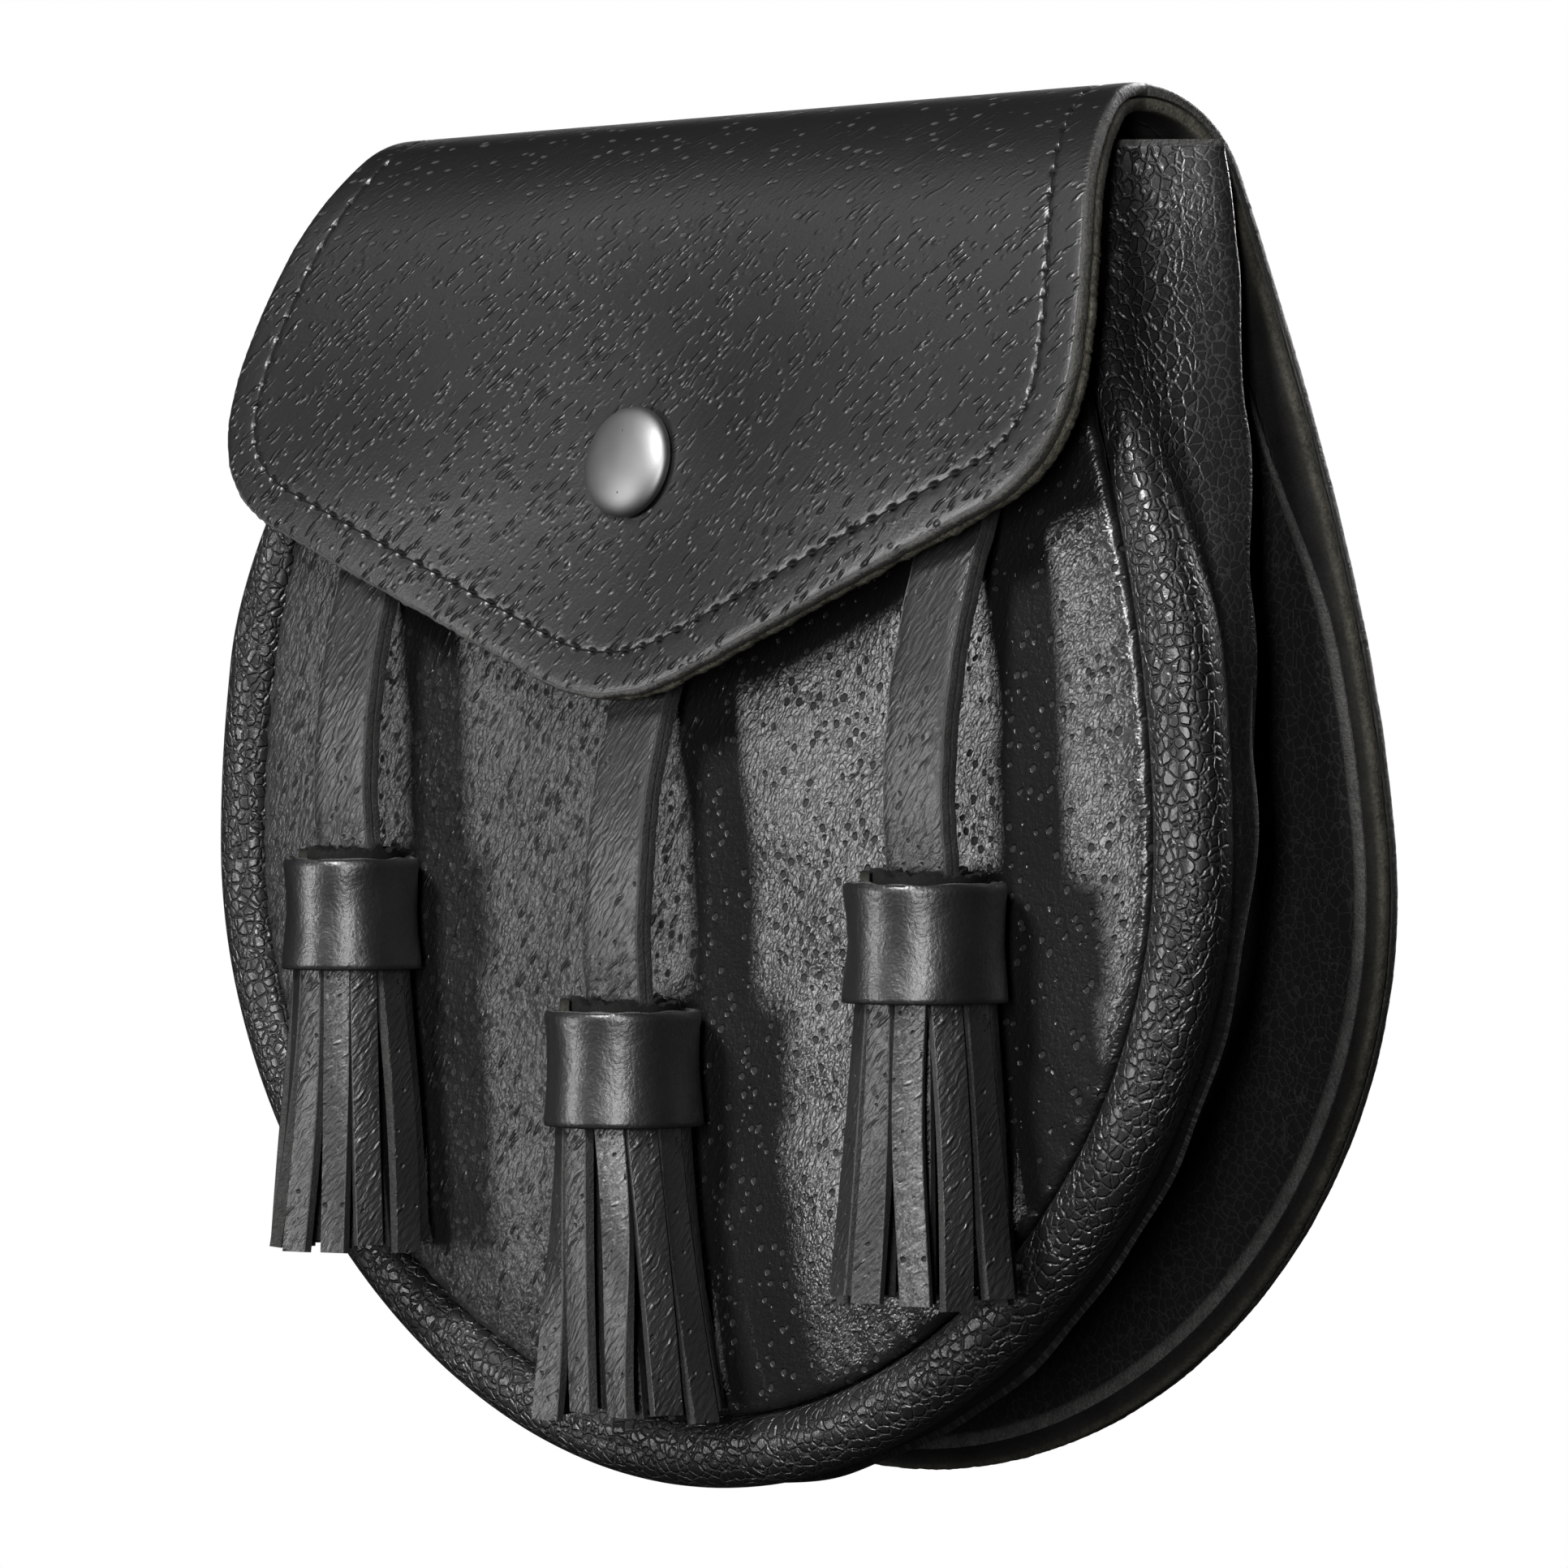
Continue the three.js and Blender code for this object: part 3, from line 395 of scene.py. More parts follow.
class Finish:
    """A material built from nodes."""

    def __init__(self, name):
        self.material = bpy.data.materials.new(name)
        self.material.use_nodes = True
        self.tree = self.material.node_tree
        self.tree.nodes.clear()

    def node(self, kind, settings=None, inputs=None, output=0):
        """Adds a node: its settings first, then the value or link of each named input."""
        made = self.tree.nodes.new(kind)
        for key, setting in (settings or {}).items():
            setattr(made, key, setting)
        for key, value in (inputs or {}).items():
            if isinstance(value, Value):
                self.tree.links.new(value.socket, made.inputs[key])
            else:
                made.inputs[key].default_value = value
        return Value(self, made.outputs[output]) if made.outputs else None

    def vector(self, operation, first, second):
        """Vector Math on two places."""
        return self.node("ShaderNodeVectorMath", {"operation": operation}, {0: first, 1: second})

    def sheet(self):
        """Where a point lies in the flat leather, in millimetres."""
        return self.node("ShaderNodeAttribute", {"attribute_name": "sheet"}, output=1)

    def space(self):
        """Where a point lies on the pouch, in millimetres."""
        return self.vector("DIVIDE", self.node("ShaderNodeTexCoord", output=3), (MM, MM, MM))

    def cut(self):
        """1 where a cut edge shows."""
        return self.node("ShaderNodeAttribute", {"attribute_name": "raw"}, output=2)

    def part(self, place, axis):
        """One coordinate of a place: 0 for X or 1 for Y."""
        return self.node("ShaderNodeSeparateXYZ", {}, {0: place}, output=axis)

    def turned(self, place, degrees, cell):
        """The place turned about Z, then measured in cells of two or three lengths, so that one
        cell becomes one unit."""
        inputs = {0: place, "Rotation": (0, 0, math.radians(degrees))}
        counts = [1 / length for length in (*cell, 1.0)[:3]]
        return self.vector("MULTIPLY", self.node("ShaderNodeMapping", {}, inputs), counts)

    def warped(self, place, size, amount):
        """The place pushed about by noise of a size, by up to an amount, in millimetres."""
        inputs = {"Vector": place, "Scale": 1 / size, "Detail": 1.0}
        push = self.node("ShaderNodeTexNoise", {}, inputs, output=1)
        push = self.vector("SUBTRACT", push, (0.5, 0.5, 0.5))
        return self.vector("ADD", place, self.vector("MULTIPLY", push, [2 * amount] * 3))

    def noise(self, place, size=1.0, detail=2.0, roughness=0.5):
        """Fractal noise from 0 to 1, of a size in the units of the place."""
        inputs = {"Vector": place, "Scale": 1 / size, "Detail": detail, "Roughness": roughness}
        return self.node("ShaderNodeTexNoise", {}, inputs)

    def cells(self, place, feature="F1", randomness=1.0):
        """Distance in a Voronoi pattern of unit cells."""
        inputs = {"Vector": place, "Scale": 1.0, "Randomness": randomness}
        return self.node("ShaderNodeTexVoronoi", {"feature": feature}, inputs)

    def blend(self, first, second, share):
        """A colour a share of the way from first to second."""
        inputs = {0: share, 6: first, 7: second}
        return self.node("ShaderNodeMix", {"data_type": "RGBA"}, inputs, output=2)

    def worms(self, place, degrees, cell, share, bead=0.45):
        """Raised grain from 0 to 1: long thin ridges along a direction, in a share of the cells
        of a stretched Voronoi pattern, each with a bead at its upper right end, which is the
        same pattern read a little further on."""
        scatter = 0.85
        turned = self.turned(place, degrees, cell)
        onward = self.vector("SUBTRACT", turned, (0.26, 0, 0))
        grain = 0.0
        for spot, width, part in ((turned, 0.42, 1 - bead), (onward, 0.3, bead)):
            inputs = {"Vector": spot, "Scale": 1.0, "Randomness": scatter}
            chance = self.node("ShaderNodeTexVoronoi", {}, inputs, output=1)
            chance = self.node("ShaderNodeSeparateColor", {}, {0: chance})
            kept = chance.eased(1 - share - 0.04, 1 - share)
            grain = self.cells(spot, randomness=scatter).eased(width, 0.06) * kept * part + grain
        return grain

    def surface(self, colour, roughness, height, specular=0.5, metal=0.0):
        """The shader: height is in millimetres and bends the normal."""
        bump = {"Strength": 1.0, "Distance": MM, "Height": height}
        inputs = {
            "Base Color": colour,
            "Roughness": roughness,
            "Metallic": metal,
            "Specular IOR Level": specular,
            "Normal": self.node("ShaderNodeBump", {}, bump),
        }
        shader = self.node("ShaderNodeBsdfPrincipled", {}, inputs)
        self.node("ShaderNodeOutputMaterial", {}, {0: shader})
        return self.material

    def leather(self, colour, roughness, height, specular, raw_level, raw_warmth):
        """A leather face that gives way to matt fibres, dark and light, where its edge is cut."""
        cut, place = self.cut(), self.space()
        fibre = self.noise(place, 0.45, 4.0, 0.65)
        share = (fibre * 0.75 + self.noise(place, 2.2) * 0.4).eased(0.3, 0.95)
        raw = self.blend(grey(raw_level * 0.25, raw_warmth), grey(raw_level * 1.6, raw_warmth), share)
        return self.surface(
            self.blend(colour, raw, cut),
            roughness * (1 - cut) + cut * 0.95,
            height * (1 - cut) + fibre * cut * 0.8,
            specular,
        )


def grey(level, warmth=0.0):
    """A near neutral colour; warmth moves it from blue-grey to olive."""
    return (level * (1 + warmth), level * (1 + 0.7 * warmth), level * (1 - 0.6 * warmth), 1.0)


def flap_finish():
    """Embossed grain: short slanting ridges that fade to nearly level pits over the crest."""
    finish = Finish("embossed_leather")
    flat = finish.sheet()
    bent = finish.warped(flat, 3.4, 0.5)
    beads = finish.worms(flat, -30, (1.9, 1.2), 0.5, 0.0)
    ridges = finish.worms(bent, -42, (3.4, 1.0), 0.85) * 0.44 + beads * 0.12
    pits = finish.cells(finish.turned(bent, -14, (3.2, 1.5)), randomness=0.9)
    over_crest = finish.part(flat, 1).eased(-36.0, -20.0)
    fine = finish.noise(flat, 0.34, 3.0, 0.6)
    creases = finish.noise(finish.turned(bent, -44, (2.2, 0.6)))
    soft = finish.noise(flat, 14.0, 1.0)
    height = (
        ridges * (1 - over_crest * 0.85)
        + pits.eased(0.3, 0.06) * -0.16 * over_crest
        + fine * 0.035
        + creases * 0.035
    )
    rough = 0.3 + soft * 0.06 + fine * 0.06 + pits.eased(0.26, 0.1) * over_crest * 0.5
    # The ridges are coloured a little lighter than the flats between them, except over the crest.
    ridge_tone = ridges.eased(0.12, 0.3) * (1 - over_crest)
    colour = finish.blend(grey(0.004), grey(0.008), ridge_tone)
    return finish.leather(colour, rough, height, 0.5, 0.03, 0.12)


def panel_finish():
    """Flatter grain: fine slanting wrinkles with small pores in loose rows, which give way
    to raised ridges towards the left. The pores are painted dark: painted shade in the pits."""
    finish = Finish("pored_leather")
    flat = finish.sheet()
    bent = finish.warped(flat, 2.0, 0.35)
    pores = finish.cells(finish.turned(bent, -50, (2.1, 1.7)), randomness=0.7).eased(0.32, 0.18)
    fine = finish.noise(flat, 0.4, 3.0, 0.62)
    wrinkles = finish.noise(finish.turned(bent, -58, (1.6, 0.75)))
    crinkles = finish.cells(finish.turned(bent, -50, (1.0, 0.6)), "DISTANCE_TO_EDGE")
    left = finish.part(flat, 0).eased(26.0, -16.0)
    ridges = finish.worms(bent, -56, (3.3, 0.95), 0.6, 0.35)
    height = (
        fine * 0.035
        + wrinkles * mix(0.16, 0.3, left)
        + crinkles.eased(0.0, 0.25) * 0.03
        + pores * mix(-0.3, -0.05, left)
        + ridges * left * 0.42
    )
    soft = finish.noise(flat, 18.0, 1.0)
    rough = 0.23 + left * 0.13 + soft * 0.06 + fine * 0.06 + pores * 0.6
    # The pores are painted near black: painted shade in the pits.
    colour = finish.blend(grey(0.006), grey(0.001), pores)
    return finish.leather(colour, rough, height, 0.55, 0.05, 0.1)


def soft_finish():
    """Soft side leather: small cells parted by cracks, flat on the gusset and raised to pebbles
    on the roll, which is the first part of the way walked across the leather."""
    finish = Finish("pebbled_leather")
    flat = finish.sheet()
    bent = finish.warped(flat, 1.2, 0.3)
    edge = finish.cells(finish.turned(bent, 0, (1.7, 1.4)), "DISTANCE_TO_EDGE")
    small_edge = finish.cells(finish.turned(bent, 0, (0.8, 0.95)), "DISTANCE_TO_EDGE")
    patch = finish.noise(flat, 9.0, 1.0).eased(0.35, 0.65)
    roll = finish.part(flat, 1).eased(22.0, 13.0)
    fine = finish.noise(flat, 0.3, 2.0, 0.6)
    height = (
        edge.eased(0.0, 0.16) * mix(0.03, 0.22, roll)
        + small_edge.eased(0.0, 0.2) * patch * 0.03
        + fine * 0.03
    )
    crack = edge.eased(0.07, 0.0)
    rough = 0.32 + crack * 0.4 + fine * 0.08
    # The cracks are painted darker: painted shade in the low cracks between the cells.
    colour = finish.blend(grey(0.006), grey(0.001), crack)
    return finish.leather(colour, rough, height, 0.5, 0.05, 0.05)


def strap_finish():
    """Strap and fringe leather: faint slanting grain and pores, with fibrous cut sides."""
    finish = Finish("strap_leather")
    flat = finish.sheet()
    bent = finish.warped(flat, 2.0, 0.4)
    grain = finish.noise(finish.turned(bent, -50, (2.2, 0.6)))
    ridges = finish.worms(bent, -42, (3.2, 0.9), 0.5)
    pores = finish.cells(finish.turned(bent, -40, (2.2, 1.9)), randomness=0.9).eased(0.2, 0.06)
    fine = finish.noise(flat, 0.35, 3.0, 0.6)
    tone = finish.noise(flat, 16.0, 1.0)
    height = grain * 0.24 + fine * 0.05 + pores * -0.25 + ridges * tone.eased(0.35, 0.6) * 0.26
    rough = 0.33 + fine * 0.08 + pores * 0.55
    colour = finish.blend(grey(0.006, 0.02), grey(0.011, 0.02), tone.eased(0.3, 0.7))
    # The pores are painted near black: painted shade in the pits.
    colour = finish.blend(colour, grey(0.001), pores)
    return finish.leather(colour, rough, height, 0.45, 0.022, 0.05)


def collar_finish():
    """Smooth, slightly purple leather with fine grain."""
    finish = Finish("collar_leather")
    flat = finish.sheet()
    fine = finish.noise(flat, 0.5)
    dents = finish.noise(flat, 2.2, 1.0)
    tone = finish.noise(flat, 12.0, 1.0)
    colour = finish.blend((0.004, 0.0038, 0.0042, 1), (0.007, 0.0067, 0.0073, 1), tone)
    rough = 0.3 + fine * 0.08 + dents * 0.05
    return finish.leather(colour, rough, fine * 0.06 + dents * 0.08, 0.5, 0.03, 0.02)


def flesh_finish():
    """The matt, napped flesh side of the lining, with lighter fibres at its cut edge."""
    finish = Finish("flesh_leather")
    flat = finish.sheet()
    nap = finish.noise(flat, 0.5, 4.0, 0.7)
    light = (nap * 0.7 + finish.noise(flat, 7.0) * 0.5).eased(0.4, 0.9)
    colour = finish.blend(grey(0.002), grey(0.008, 0.05), light)
    return finish.leather(colour, 0.85 + nap * 0.1, nap * 0.12, 0.12, 0.085, 0.2)


def thread_finish():
    """Waxed black thread with its twist."""
    finish = Finish("waxed_thread")
    strands = finish.noise(finish.turned(finish.space(), 35, (0.25, 0.9, 0.9)), detail=1.0)
    colour = finish.blend(grey(0.001), grey(0.003), strands)
    return finish.surface(colour, 0.75, strands * 0.08, 0.12)


def metal_finish():
    """Satin gunmetal with a few specks."""
    finish = Finish("satin_gunmetal")
    place = finish.space()
    haze = finish.noise(place, 5.0)
    specks = finish.cells(finish.turned(place, 0, (2.6, 2.6, 2.6))).eased(0.07, 0.03)
    grit = finish.noise(place, 0.25)
    colour = finish.blend(grey(0.13), grey(0.18), haze)
    colour = finish.blend(colour, grey(0.05), specks)
    rough = 0.42 + haze * 0.08 + grit * 0.05 + specks * 0.3
    return finish.surface(colour, rough, grit * 0.008 + specks * -0.04, metal=1.0)


FLAP_LEATHER = flap_finish()
PANEL_LEATHER = panel_finish()
SOFT_LEATHER = soft_finish()
STRAP_LEATHER = strap_finish()
COLLAR_LEATHER = collar_finish()
FLESH_LEATHER = flesh_finish()
THREAD = thread_finish()
METAL = metal_finish()


def pull(x, z):
    """How far the snap draws the flap back: a round bell of one reach."""
    return SNAP_PULL * np.exp(-(x**2 + (z - SNAP_Z) ** 2) / PULL_REACH**2)


def on_blank(flat, depth):
    """A place on the blank in space: across stays X, and run goes round the fold."""
    x, run = flat[..., 0], flat[..., 1]
    y, z = fold(run, depth)
    y = y + np.where(run < 0, pull(x, z), 0)
    return np.stack([x, y, z], axis=-1)


def ring_rows(loop, spine, profile, inner_steps):
    """Rows of a flat shape, from its spine out to its loop by the inset, depth and cut mark of
    each profile row, and back to the spine underneath. Gives flat places, depths and marks."""
    normal = inward(loop)
    reach = max(inset for inset, _, _ in profile)
    inner = loop + normal * reach
    share = np.linspace(1, 0, inner_steps, endpoint=False)[:, None, None]
    top = mix(inner, spine, share)
    rim = np.stack([loop + normal * inset for inset, _, _ in profile])
    under = mix(inner, spine, share[::-1])
    flat = np.concatenate([top, rim, under])
    rows = [profile[0]] * inner_steps + profile + [profile[-1]] * inner_steps
    _, depth, cut = np.array(rows, float).T[..., None] * np.ones(len(loop))
    return flat, depth, cut


BLANK = mirrored(np.concatenate([flap_half(), back_half()]), BLANK_STEPS)
BLANK_SPINE = np.stack(
    [np.zeros(len(BLANK)), np.clip(BLANK[:, 1], 26 - FLAP_LENGTH, BACK_LENGTH - 70)], axis=1
)


# Where the blank runs down the front, and the six-sided section of a thread.
FRONT_SHARE = ease(-BLANK[:, 1], 0, 40)
THREAD_TURN = np.arange(6) * math.pi / 3
THREAD_SECTION = np.stack([np.cos(THREAD_TURN), np.sin(THREAD_TURN)], axis=1)


def folded_ply(name, flat, depth, cut, fray, shown, finish):
    """A ply folded over the crest. Fray moves its cut edge in and out, less so on the back, and
    shown is the share of the cut that looks raw."""
    fray = fray * mix(BACK_FRAY, 1, FRONT_SHARE)
    flat = flat - inward(BLANK)[None] * (cut * fray)[..., None]
    quads = band_faces(len(flat), len(BLANK), closed_columns=True)
    return new_piece(name, on_blank(flat, depth), quads, [], finish, flat, cut * shown, 60)


def outer_ply():
    """The grain ply of back and flap: a rounded rim, a sunk line for the stitches, and a cut
    side that is a little ragged."""
    rows = 14
    groove = [(0.8, 0.01), (0.5, 0.04), (0.25, 0.1), (0, 0.13), (-0.25, 0.1), (-0.5, 0.04), (-0.8, 0.01)]
    profile = [(8.5, 0, 0), (7.6, 0, 0)]
    profile += [(STITCH_INSET + offset, depth, 0) for offset, depth in groove]
    profile += [
        (4.2, 0, 0), (2.4, 0, 0), (1.5, 0.02, 0), (1.0, 0.07, 0), (0.62, 0.17, 0.1),
        (0.34, 0.33, 0.6), (0.14, 0.55, 1), (0.03, 0.85, 1), (0, 1.4, 1), (0.1, 1.75, 1),
        (0.9, 1.88, 1), (3, 1.95, 0), (8.5, 1.95, 0),
    ]
    flat, depth, cut = ring_rows(BLANK, BLANK_SPINE, profile, rows)
    inset = np.array([row[0] for row in profile])
    from_hole = np.abs((np.arange(BLANK_STEPS) + 4) % STITCH_COLUMNS - 4.5)
    in_hole = np.clip(1 - from_hole / 1.7, 0, 1)
    near = np.clip(1.3 - np.abs(inset - STITCH_INSET) / 0.4, 0, 1)
    depth[rows:rows + len(profile)] += HOLE_DEPTH * near[:, None] * ease(in_hole, 0, 0.7)
    fray = 0.07 * ripple(BLANK, 1.3, 11) + 0.08 * ripple(BLANK, 9, 12)
    piece = folded_ply(
        "back_and_flap_leather", flat, depth, cut, fray, mix(0.35, 1, FRONT_SHARE),
        FLAP_LEATHER,
    )
    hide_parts("back_and_flap")


def lining_ply():
    """The ply behind it, whose napped cut edge stands a hair past the rim."""
    top = OUTER_PLY + GAP - 0.1
    foot = OUTER_PLY + GAP + LINING_PLY
    profile = [
        (8.5, top, 0), (2.0, top, 0), (0.35, top + 0.02, 1), (0.05, top + 0.2, 1),
        (-0.05, top + 0.55, 1), (-0.02, top + 1.0, 1), (0.12, foot - 0.25, 1),
        (0.45, foot - 0.04, 0.7), (1.1, foot, 0.15), (2.2, foot, 0), (5.2, foot, 0),
        (6.0, foot - 0.18, 0), (6.8, foot, 0), (8.5, foot, 0),
    ]
    flat, depth, cut = ring_rows(BLANK, BLANK_SPINE, profile, 12)
    fray = 0.11 * ripple(BLANK, 1.1, 21) + 0.1 * ripple(BLANK, 6, 22)
    piece = folded_ply(
        "flap_lining_leather", flat, depth, cut, fray, mix(0.3, 1, ease(-BLANK[:, 1], 10, 70)),
        FLESH_LEATHER,
    )
    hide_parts("flap_lining")


def between(loop, column):
    """A closed loop read at fractional columns, along straight lines between its points."""
    low = np.floor(column).astype(int)
    share = (column - low)[..., None]
    return mix(loop[low % len(loop)], loop[(low + 1) % len(loop)], share)


def stitch_row(name, depth, thick):
    """Stitches along the rim of the leather, from hole to hole: each lies a little slanted,
    thin in the middle where it is pulled tight, and swells and dips where it enters its holes.
    A negative thickness puts them on the far face."""
    line = BLANK + inward(BLANK) * STITCH_INSET
    start = np.arange(0, len(BLANK), STITCH_COLUMNS)[:, None] + 0.5
    column = start + STITCH_COLUMNS * np.array([0, 0.1, 0.25, 0.75, 0.9, 1])
    run = unit(between(line, column + 0.6) - between(line, column - 0.6))
    side = np.stack([-run[..., 1], run[..., 0]], axis=-1)
    slant = np.array([-0.2, -0.12, -0.04, 0.04, 0.12, 0.2])
    flat = between(line, column) + side * slant[:, None]
    dip = np.array([0.65, 0.3, 0.08, 0.08, 0.3, 0.65])
    below = depth + dip * math.copysign(1, thick)
    size = np.array([1.1, 1.15, 0.8, 0.8, 1.15, 1.1])[:, None] * abs(thick)
    centre = on_blank(flat, below)
    across = unit(on_blank(flat + side * 0.5, below) - centre)
    out = unit(np.cross(across, np.gradient(centre, axis=1)))
    bars(name, centre, across * size, out * size, THREAD_SECTION, THREAD, crease=80)


def rim_line(steps):
    """The U of the rim seen from the front, with its outward direction and girth share, from
    the left of the mouth round the bottom to the right of the mouth."""
    half = back_half()
    run = half[:, 1]
    height = fold(np.maximum(run, BACK_ARC), 0)[1] + np.maximum(BACK_ARC - run, 0)
    line = np.stack([half[:, 0], height], axis=1)
    line = line[line[:, 1] < GUSSET_TOP]
    line = np.concatenate([[[line[0, 0], GUSSET_TOP]], line])
    loop = even(np.concatenate([line * [-1, 1], line[-2::-1]]), steps)
    along = unit(np.gradient(loop, axis=0))
    out = np.stack([along[:, 1], -along[:, 0]], axis=1)
    level = ease(np.abs(np.linspace(-1, 1, steps)), 0.97, 1.0)[:, None]
    out = mix(out, np.stack([np.sign(loop[:, 0]), np.zeros(steps)], axis=1), level)
    return loop, out, np.abs(np.linspace(-1, 1, steps))


def seam_y(z):
    """The plane of the front seam, which falls back as a square towards the mouth."""
    return SEAM_Y + SEAM_RECESS * (np.maximum(z - RECESS_START, 0) / (GUSSET_TOP - RECESS_START)) ** 2


def seam_inset(z):
    """How far in from the rim the front seam lies."""
    return EDGE_BAND + FRONT_NARROWING * ease(z, RECESS_START, PANEL_TOP)


def lining_y(z):
    """The front face of the back at a height: the fold's inner arc, then a straight lean."""
    depth = OUTER_PLY + GAP + LINING_PLY
    head_y, head_z = fold(BACK_ARC, depth)
    foot_y, foot_z = fold(BACK_LENGTH, depth)
    rise = z - (CREST_Z - FOLD_RADIUS)
    arc = CREST_Y + np.sqrt(np.maximum((FOLD_RADIUS - depth) ** 2 - rise**2, 0))
    return np.where(z > head_z, arc, head_y + (foot_y - head_y) * (head_z - z) / (head_z - foot_z))


def eased_table(place, places, values):
    """A table read with a smoothstep between its rows."""
    cell = np.clip(np.searchsorted(places, place) - 1, 0, len(places) - 2)
    low, high = np.take(places, cell), np.take(places, cell + 1)
    return mix(np.take(values, cell), np.take(values, cell + 1), ease(place, low, high))


def side_leather():
    """The soft side in one skin: tucked under the panel at the seam, out over the padded roll,
    down into the valley, out to the ridge, in to the seam on the back and out as a flange. Each
    section is a Catmull-Rom curve through places measured from the rim, and the wall is the
    same curve moved in by its thickness."""
    steps = 440
    loop, out, girth = rim_line(steps)
    z = loop[:, 1]
    size = mix(1, ROLL_TAPER, ease(z, RECESS_START, ROLL_TOP)) * mix(1, 0.7, ease(z, ROLL_TOP, GUSSET_TOP))
    wide, deep = ROLL_HALF_WIDTH * size, ROLL_HALF_DEPTH * size
    middle = seam_inset(z) - GAP - wide
    centre_y = seam_y(z) + ROLL_SETBACK
    mouth = ease(z, RECESS_START, GUSSET_TOP)
    ridge_y = SEAM_Y + GUSSET_DEPTH * eased_table(girth, RIDGE_ALONG, RIDGE_DEPTH)
    ridge_in = EDGE_BAND * eased_table(girth, RIDGE_ALONG, RIDGE_INSET)
    seam_in = mix(SEAM_INSET, ridge_in + 6, mouth)
    flange_in = mix(FLANGE_INSET, seam_in - 2, mouth)
    wave = ripple(loop, 24, 31)
    ridge_in = ridge_in + 0.25 * wave
    ridge_y = ridge_y + 0.3 * ripple(loop, 31, 32)

    def on_back(inset):
        return lining_y(z - out[:, 1] * inset) - GAP

    valley_y = centre_y + deep * 1.15
    knots = [
        (middle + wide + 1.2, centre_y + 0.9),
        (middle + wide * 1.06, centre_y - 0.1 * deep),
        (middle + wide * 0.86, centre_y - 0.66 * deep),
        (middle + wide * 0.48, centre_y - 0.95 * deep),
        (middle, centre_y - deep * (1.0 + 0.04 * wave)),
        (middle - wide * 0.5, centre_y - 0.86 * deep),
        (middle - wide * 0.88, centre_y - 0.4 * deep),
        (middle - wide * 0.96, centre_y + 0.2 * deep),
        (middle - wide * 0.78, centre_y + 0.8 * deep),
        (mix(middle - wide * 0.5, ridge_in, 0.25), mix(valley_y, ridge_y, 0.15)),
        (mix(middle - wide * 0.5, ridge_in, 0.6), mix(valley_y, ridge_y, 0.45)),
        (mix(middle - wide * 0.5, ridge_in, 0.92), mix(valley_y, ridge_y, 0.82)),
        (ridge_in, ridge_y - 0.2),
        (ridge_in + 0.25, ridge_y + 0.7),
        (ridge_in + 1.5, ridge_y + 1.6),
        (mix(ridge_in + 1.5, seam_in, 0.55), mix(ridge_y + 1.6, on_back(seam_in) - 1.6, 0.5)),
        (seam_in, on_back(seam_in) - 1.4),
        (seam_in - 1.4, on_back(seam_in - 1.4) - 0.1),
        (mix(seam_in, flange_in, 0.6), on_back(mix(seam_in, flange_in, 0.6))),
        (flange_in, on_back(flange_in)),
    ]
    soft = ease(z, 18, 56) * 0.8
    for k in range(6, 10):
        straight = [mix(knots[5][part], knots[10][part], (k - 5) / 5) for part in (0, 1)]
        knots[k] = tuple(mix(knots[k][part], straight[part], soft) for part in (0, 1))
    weights = through(len(knots), 96)
    inset = np.stack([knot[0] for knot in knots], axis=1) @ weights.T
    y = np.stack([knot[1] for knot in knots], axis=1) @ weights.T
    run_in, run_y = np.gradient(inset, axis=1), np.gradient(y, axis=1)
    length = np.hypot(run_in, run_y)
    inner_in = inset + GUSSET_WALL * run_y / length
    inner_y = y - GUSSET_WALL * run_in / length

    def placed(inset_now, y_now):
        return np.stack(
            [loop[:, :1] - out[:, :1] * inset_now, y_now, z[:, None] - out[:, 1:] * inset_now], axis=-1
        )

    points = np.stack([placed(inset, y), placed(inner_in, inner_y)])
    walked = np.cumsum(length, axis=1)
    along = np.concatenate([[0], np.cumsum(np.linalg.norm(np.diff(loop, axis=0), axis=1))])
    sheet = np.stack([np.broadcast_to(along[:, None], walked.shape), walked], axis=-1)
    cut = np.zeros(inset.shape)
    cut[:, -2:] = 1
    cut[[0, -1]] = 1
    sheet = np.stack([sheet, sheet + [0, 300]])
    piece = new_piece(
        "side_leather", points, wall_faces(*inset.shape), [], SOFT_LEATHER,
        sheet, np.stack([cut, cut]), 50,
    )
    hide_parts("rolled_edge", "gusset")


def front_leather():
    """The front panel: its edge turns back into the seam, it stands proud inside that by an
    eased roll, and it swells and dips a little."""
    steps = 620
    loop, out, _ = rim_line(1201)
    half = slice(600, 1201)
    z = loop[half, 1]
    edge = loop[half] - out[half] * seam_inset(z)[:, None]
    edge = edge[edge[:, 1] < PANEL_TOP]
    edge[0, 0] = 0
    outline = mirrored(np.concatenate([edge, [[edge[-1, 0] - 3, PANEL_TOP], [0, PANEL_TOP]]]), steps)
    spine = np.stack([np.zeros(steps), np.clip(outline[:, 1], -50, 30)], axis=1)
    profile = [(7, 0, 0), (5, 0, 0), (3.2, 0, 0), (2, 0.02, 0), (1.2, 0.08, 0), (0.7, 0.22, 0)]
    profile += [(0.35, 0.5, 0), (0.12, 0.95, 0), (0.08, 1.5, 0), (0.3, PANEL_WALL, 0.5), (2, PANEL_WALL, 0)]
    profile += [(7, PANEL_WALL, 0)]
    flat, depth, cut = ring_rows(outline, spine, profile, 44)
    gap = np.linalg.norm(flat[:, :, None] - outline[None, None, ::6], axis=-1).min(axis=2)
    proud = PANEL_PROUD * (1 - (1 - np.minimum(gap / PANEL_ROLL, 1)) ** 2)
    swell = 0.3 * ripple(flat, 46, 41) + 0.12 * ripple(flat, 19, 42)
    y = seam_y(flat[..., 1]) - proud + swell * np.minimum(gap / 10, 1) + depth
    points = np.stack([flat[..., 0], y, flat[..., 1]], axis=-1)
    quads = band_faces(len(flat), steps, closed_columns=True)
    piece = new_piece("front_leather", points, quads, [], PANEL_LEATHER, flat, cut, 50)
    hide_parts("front_panel")


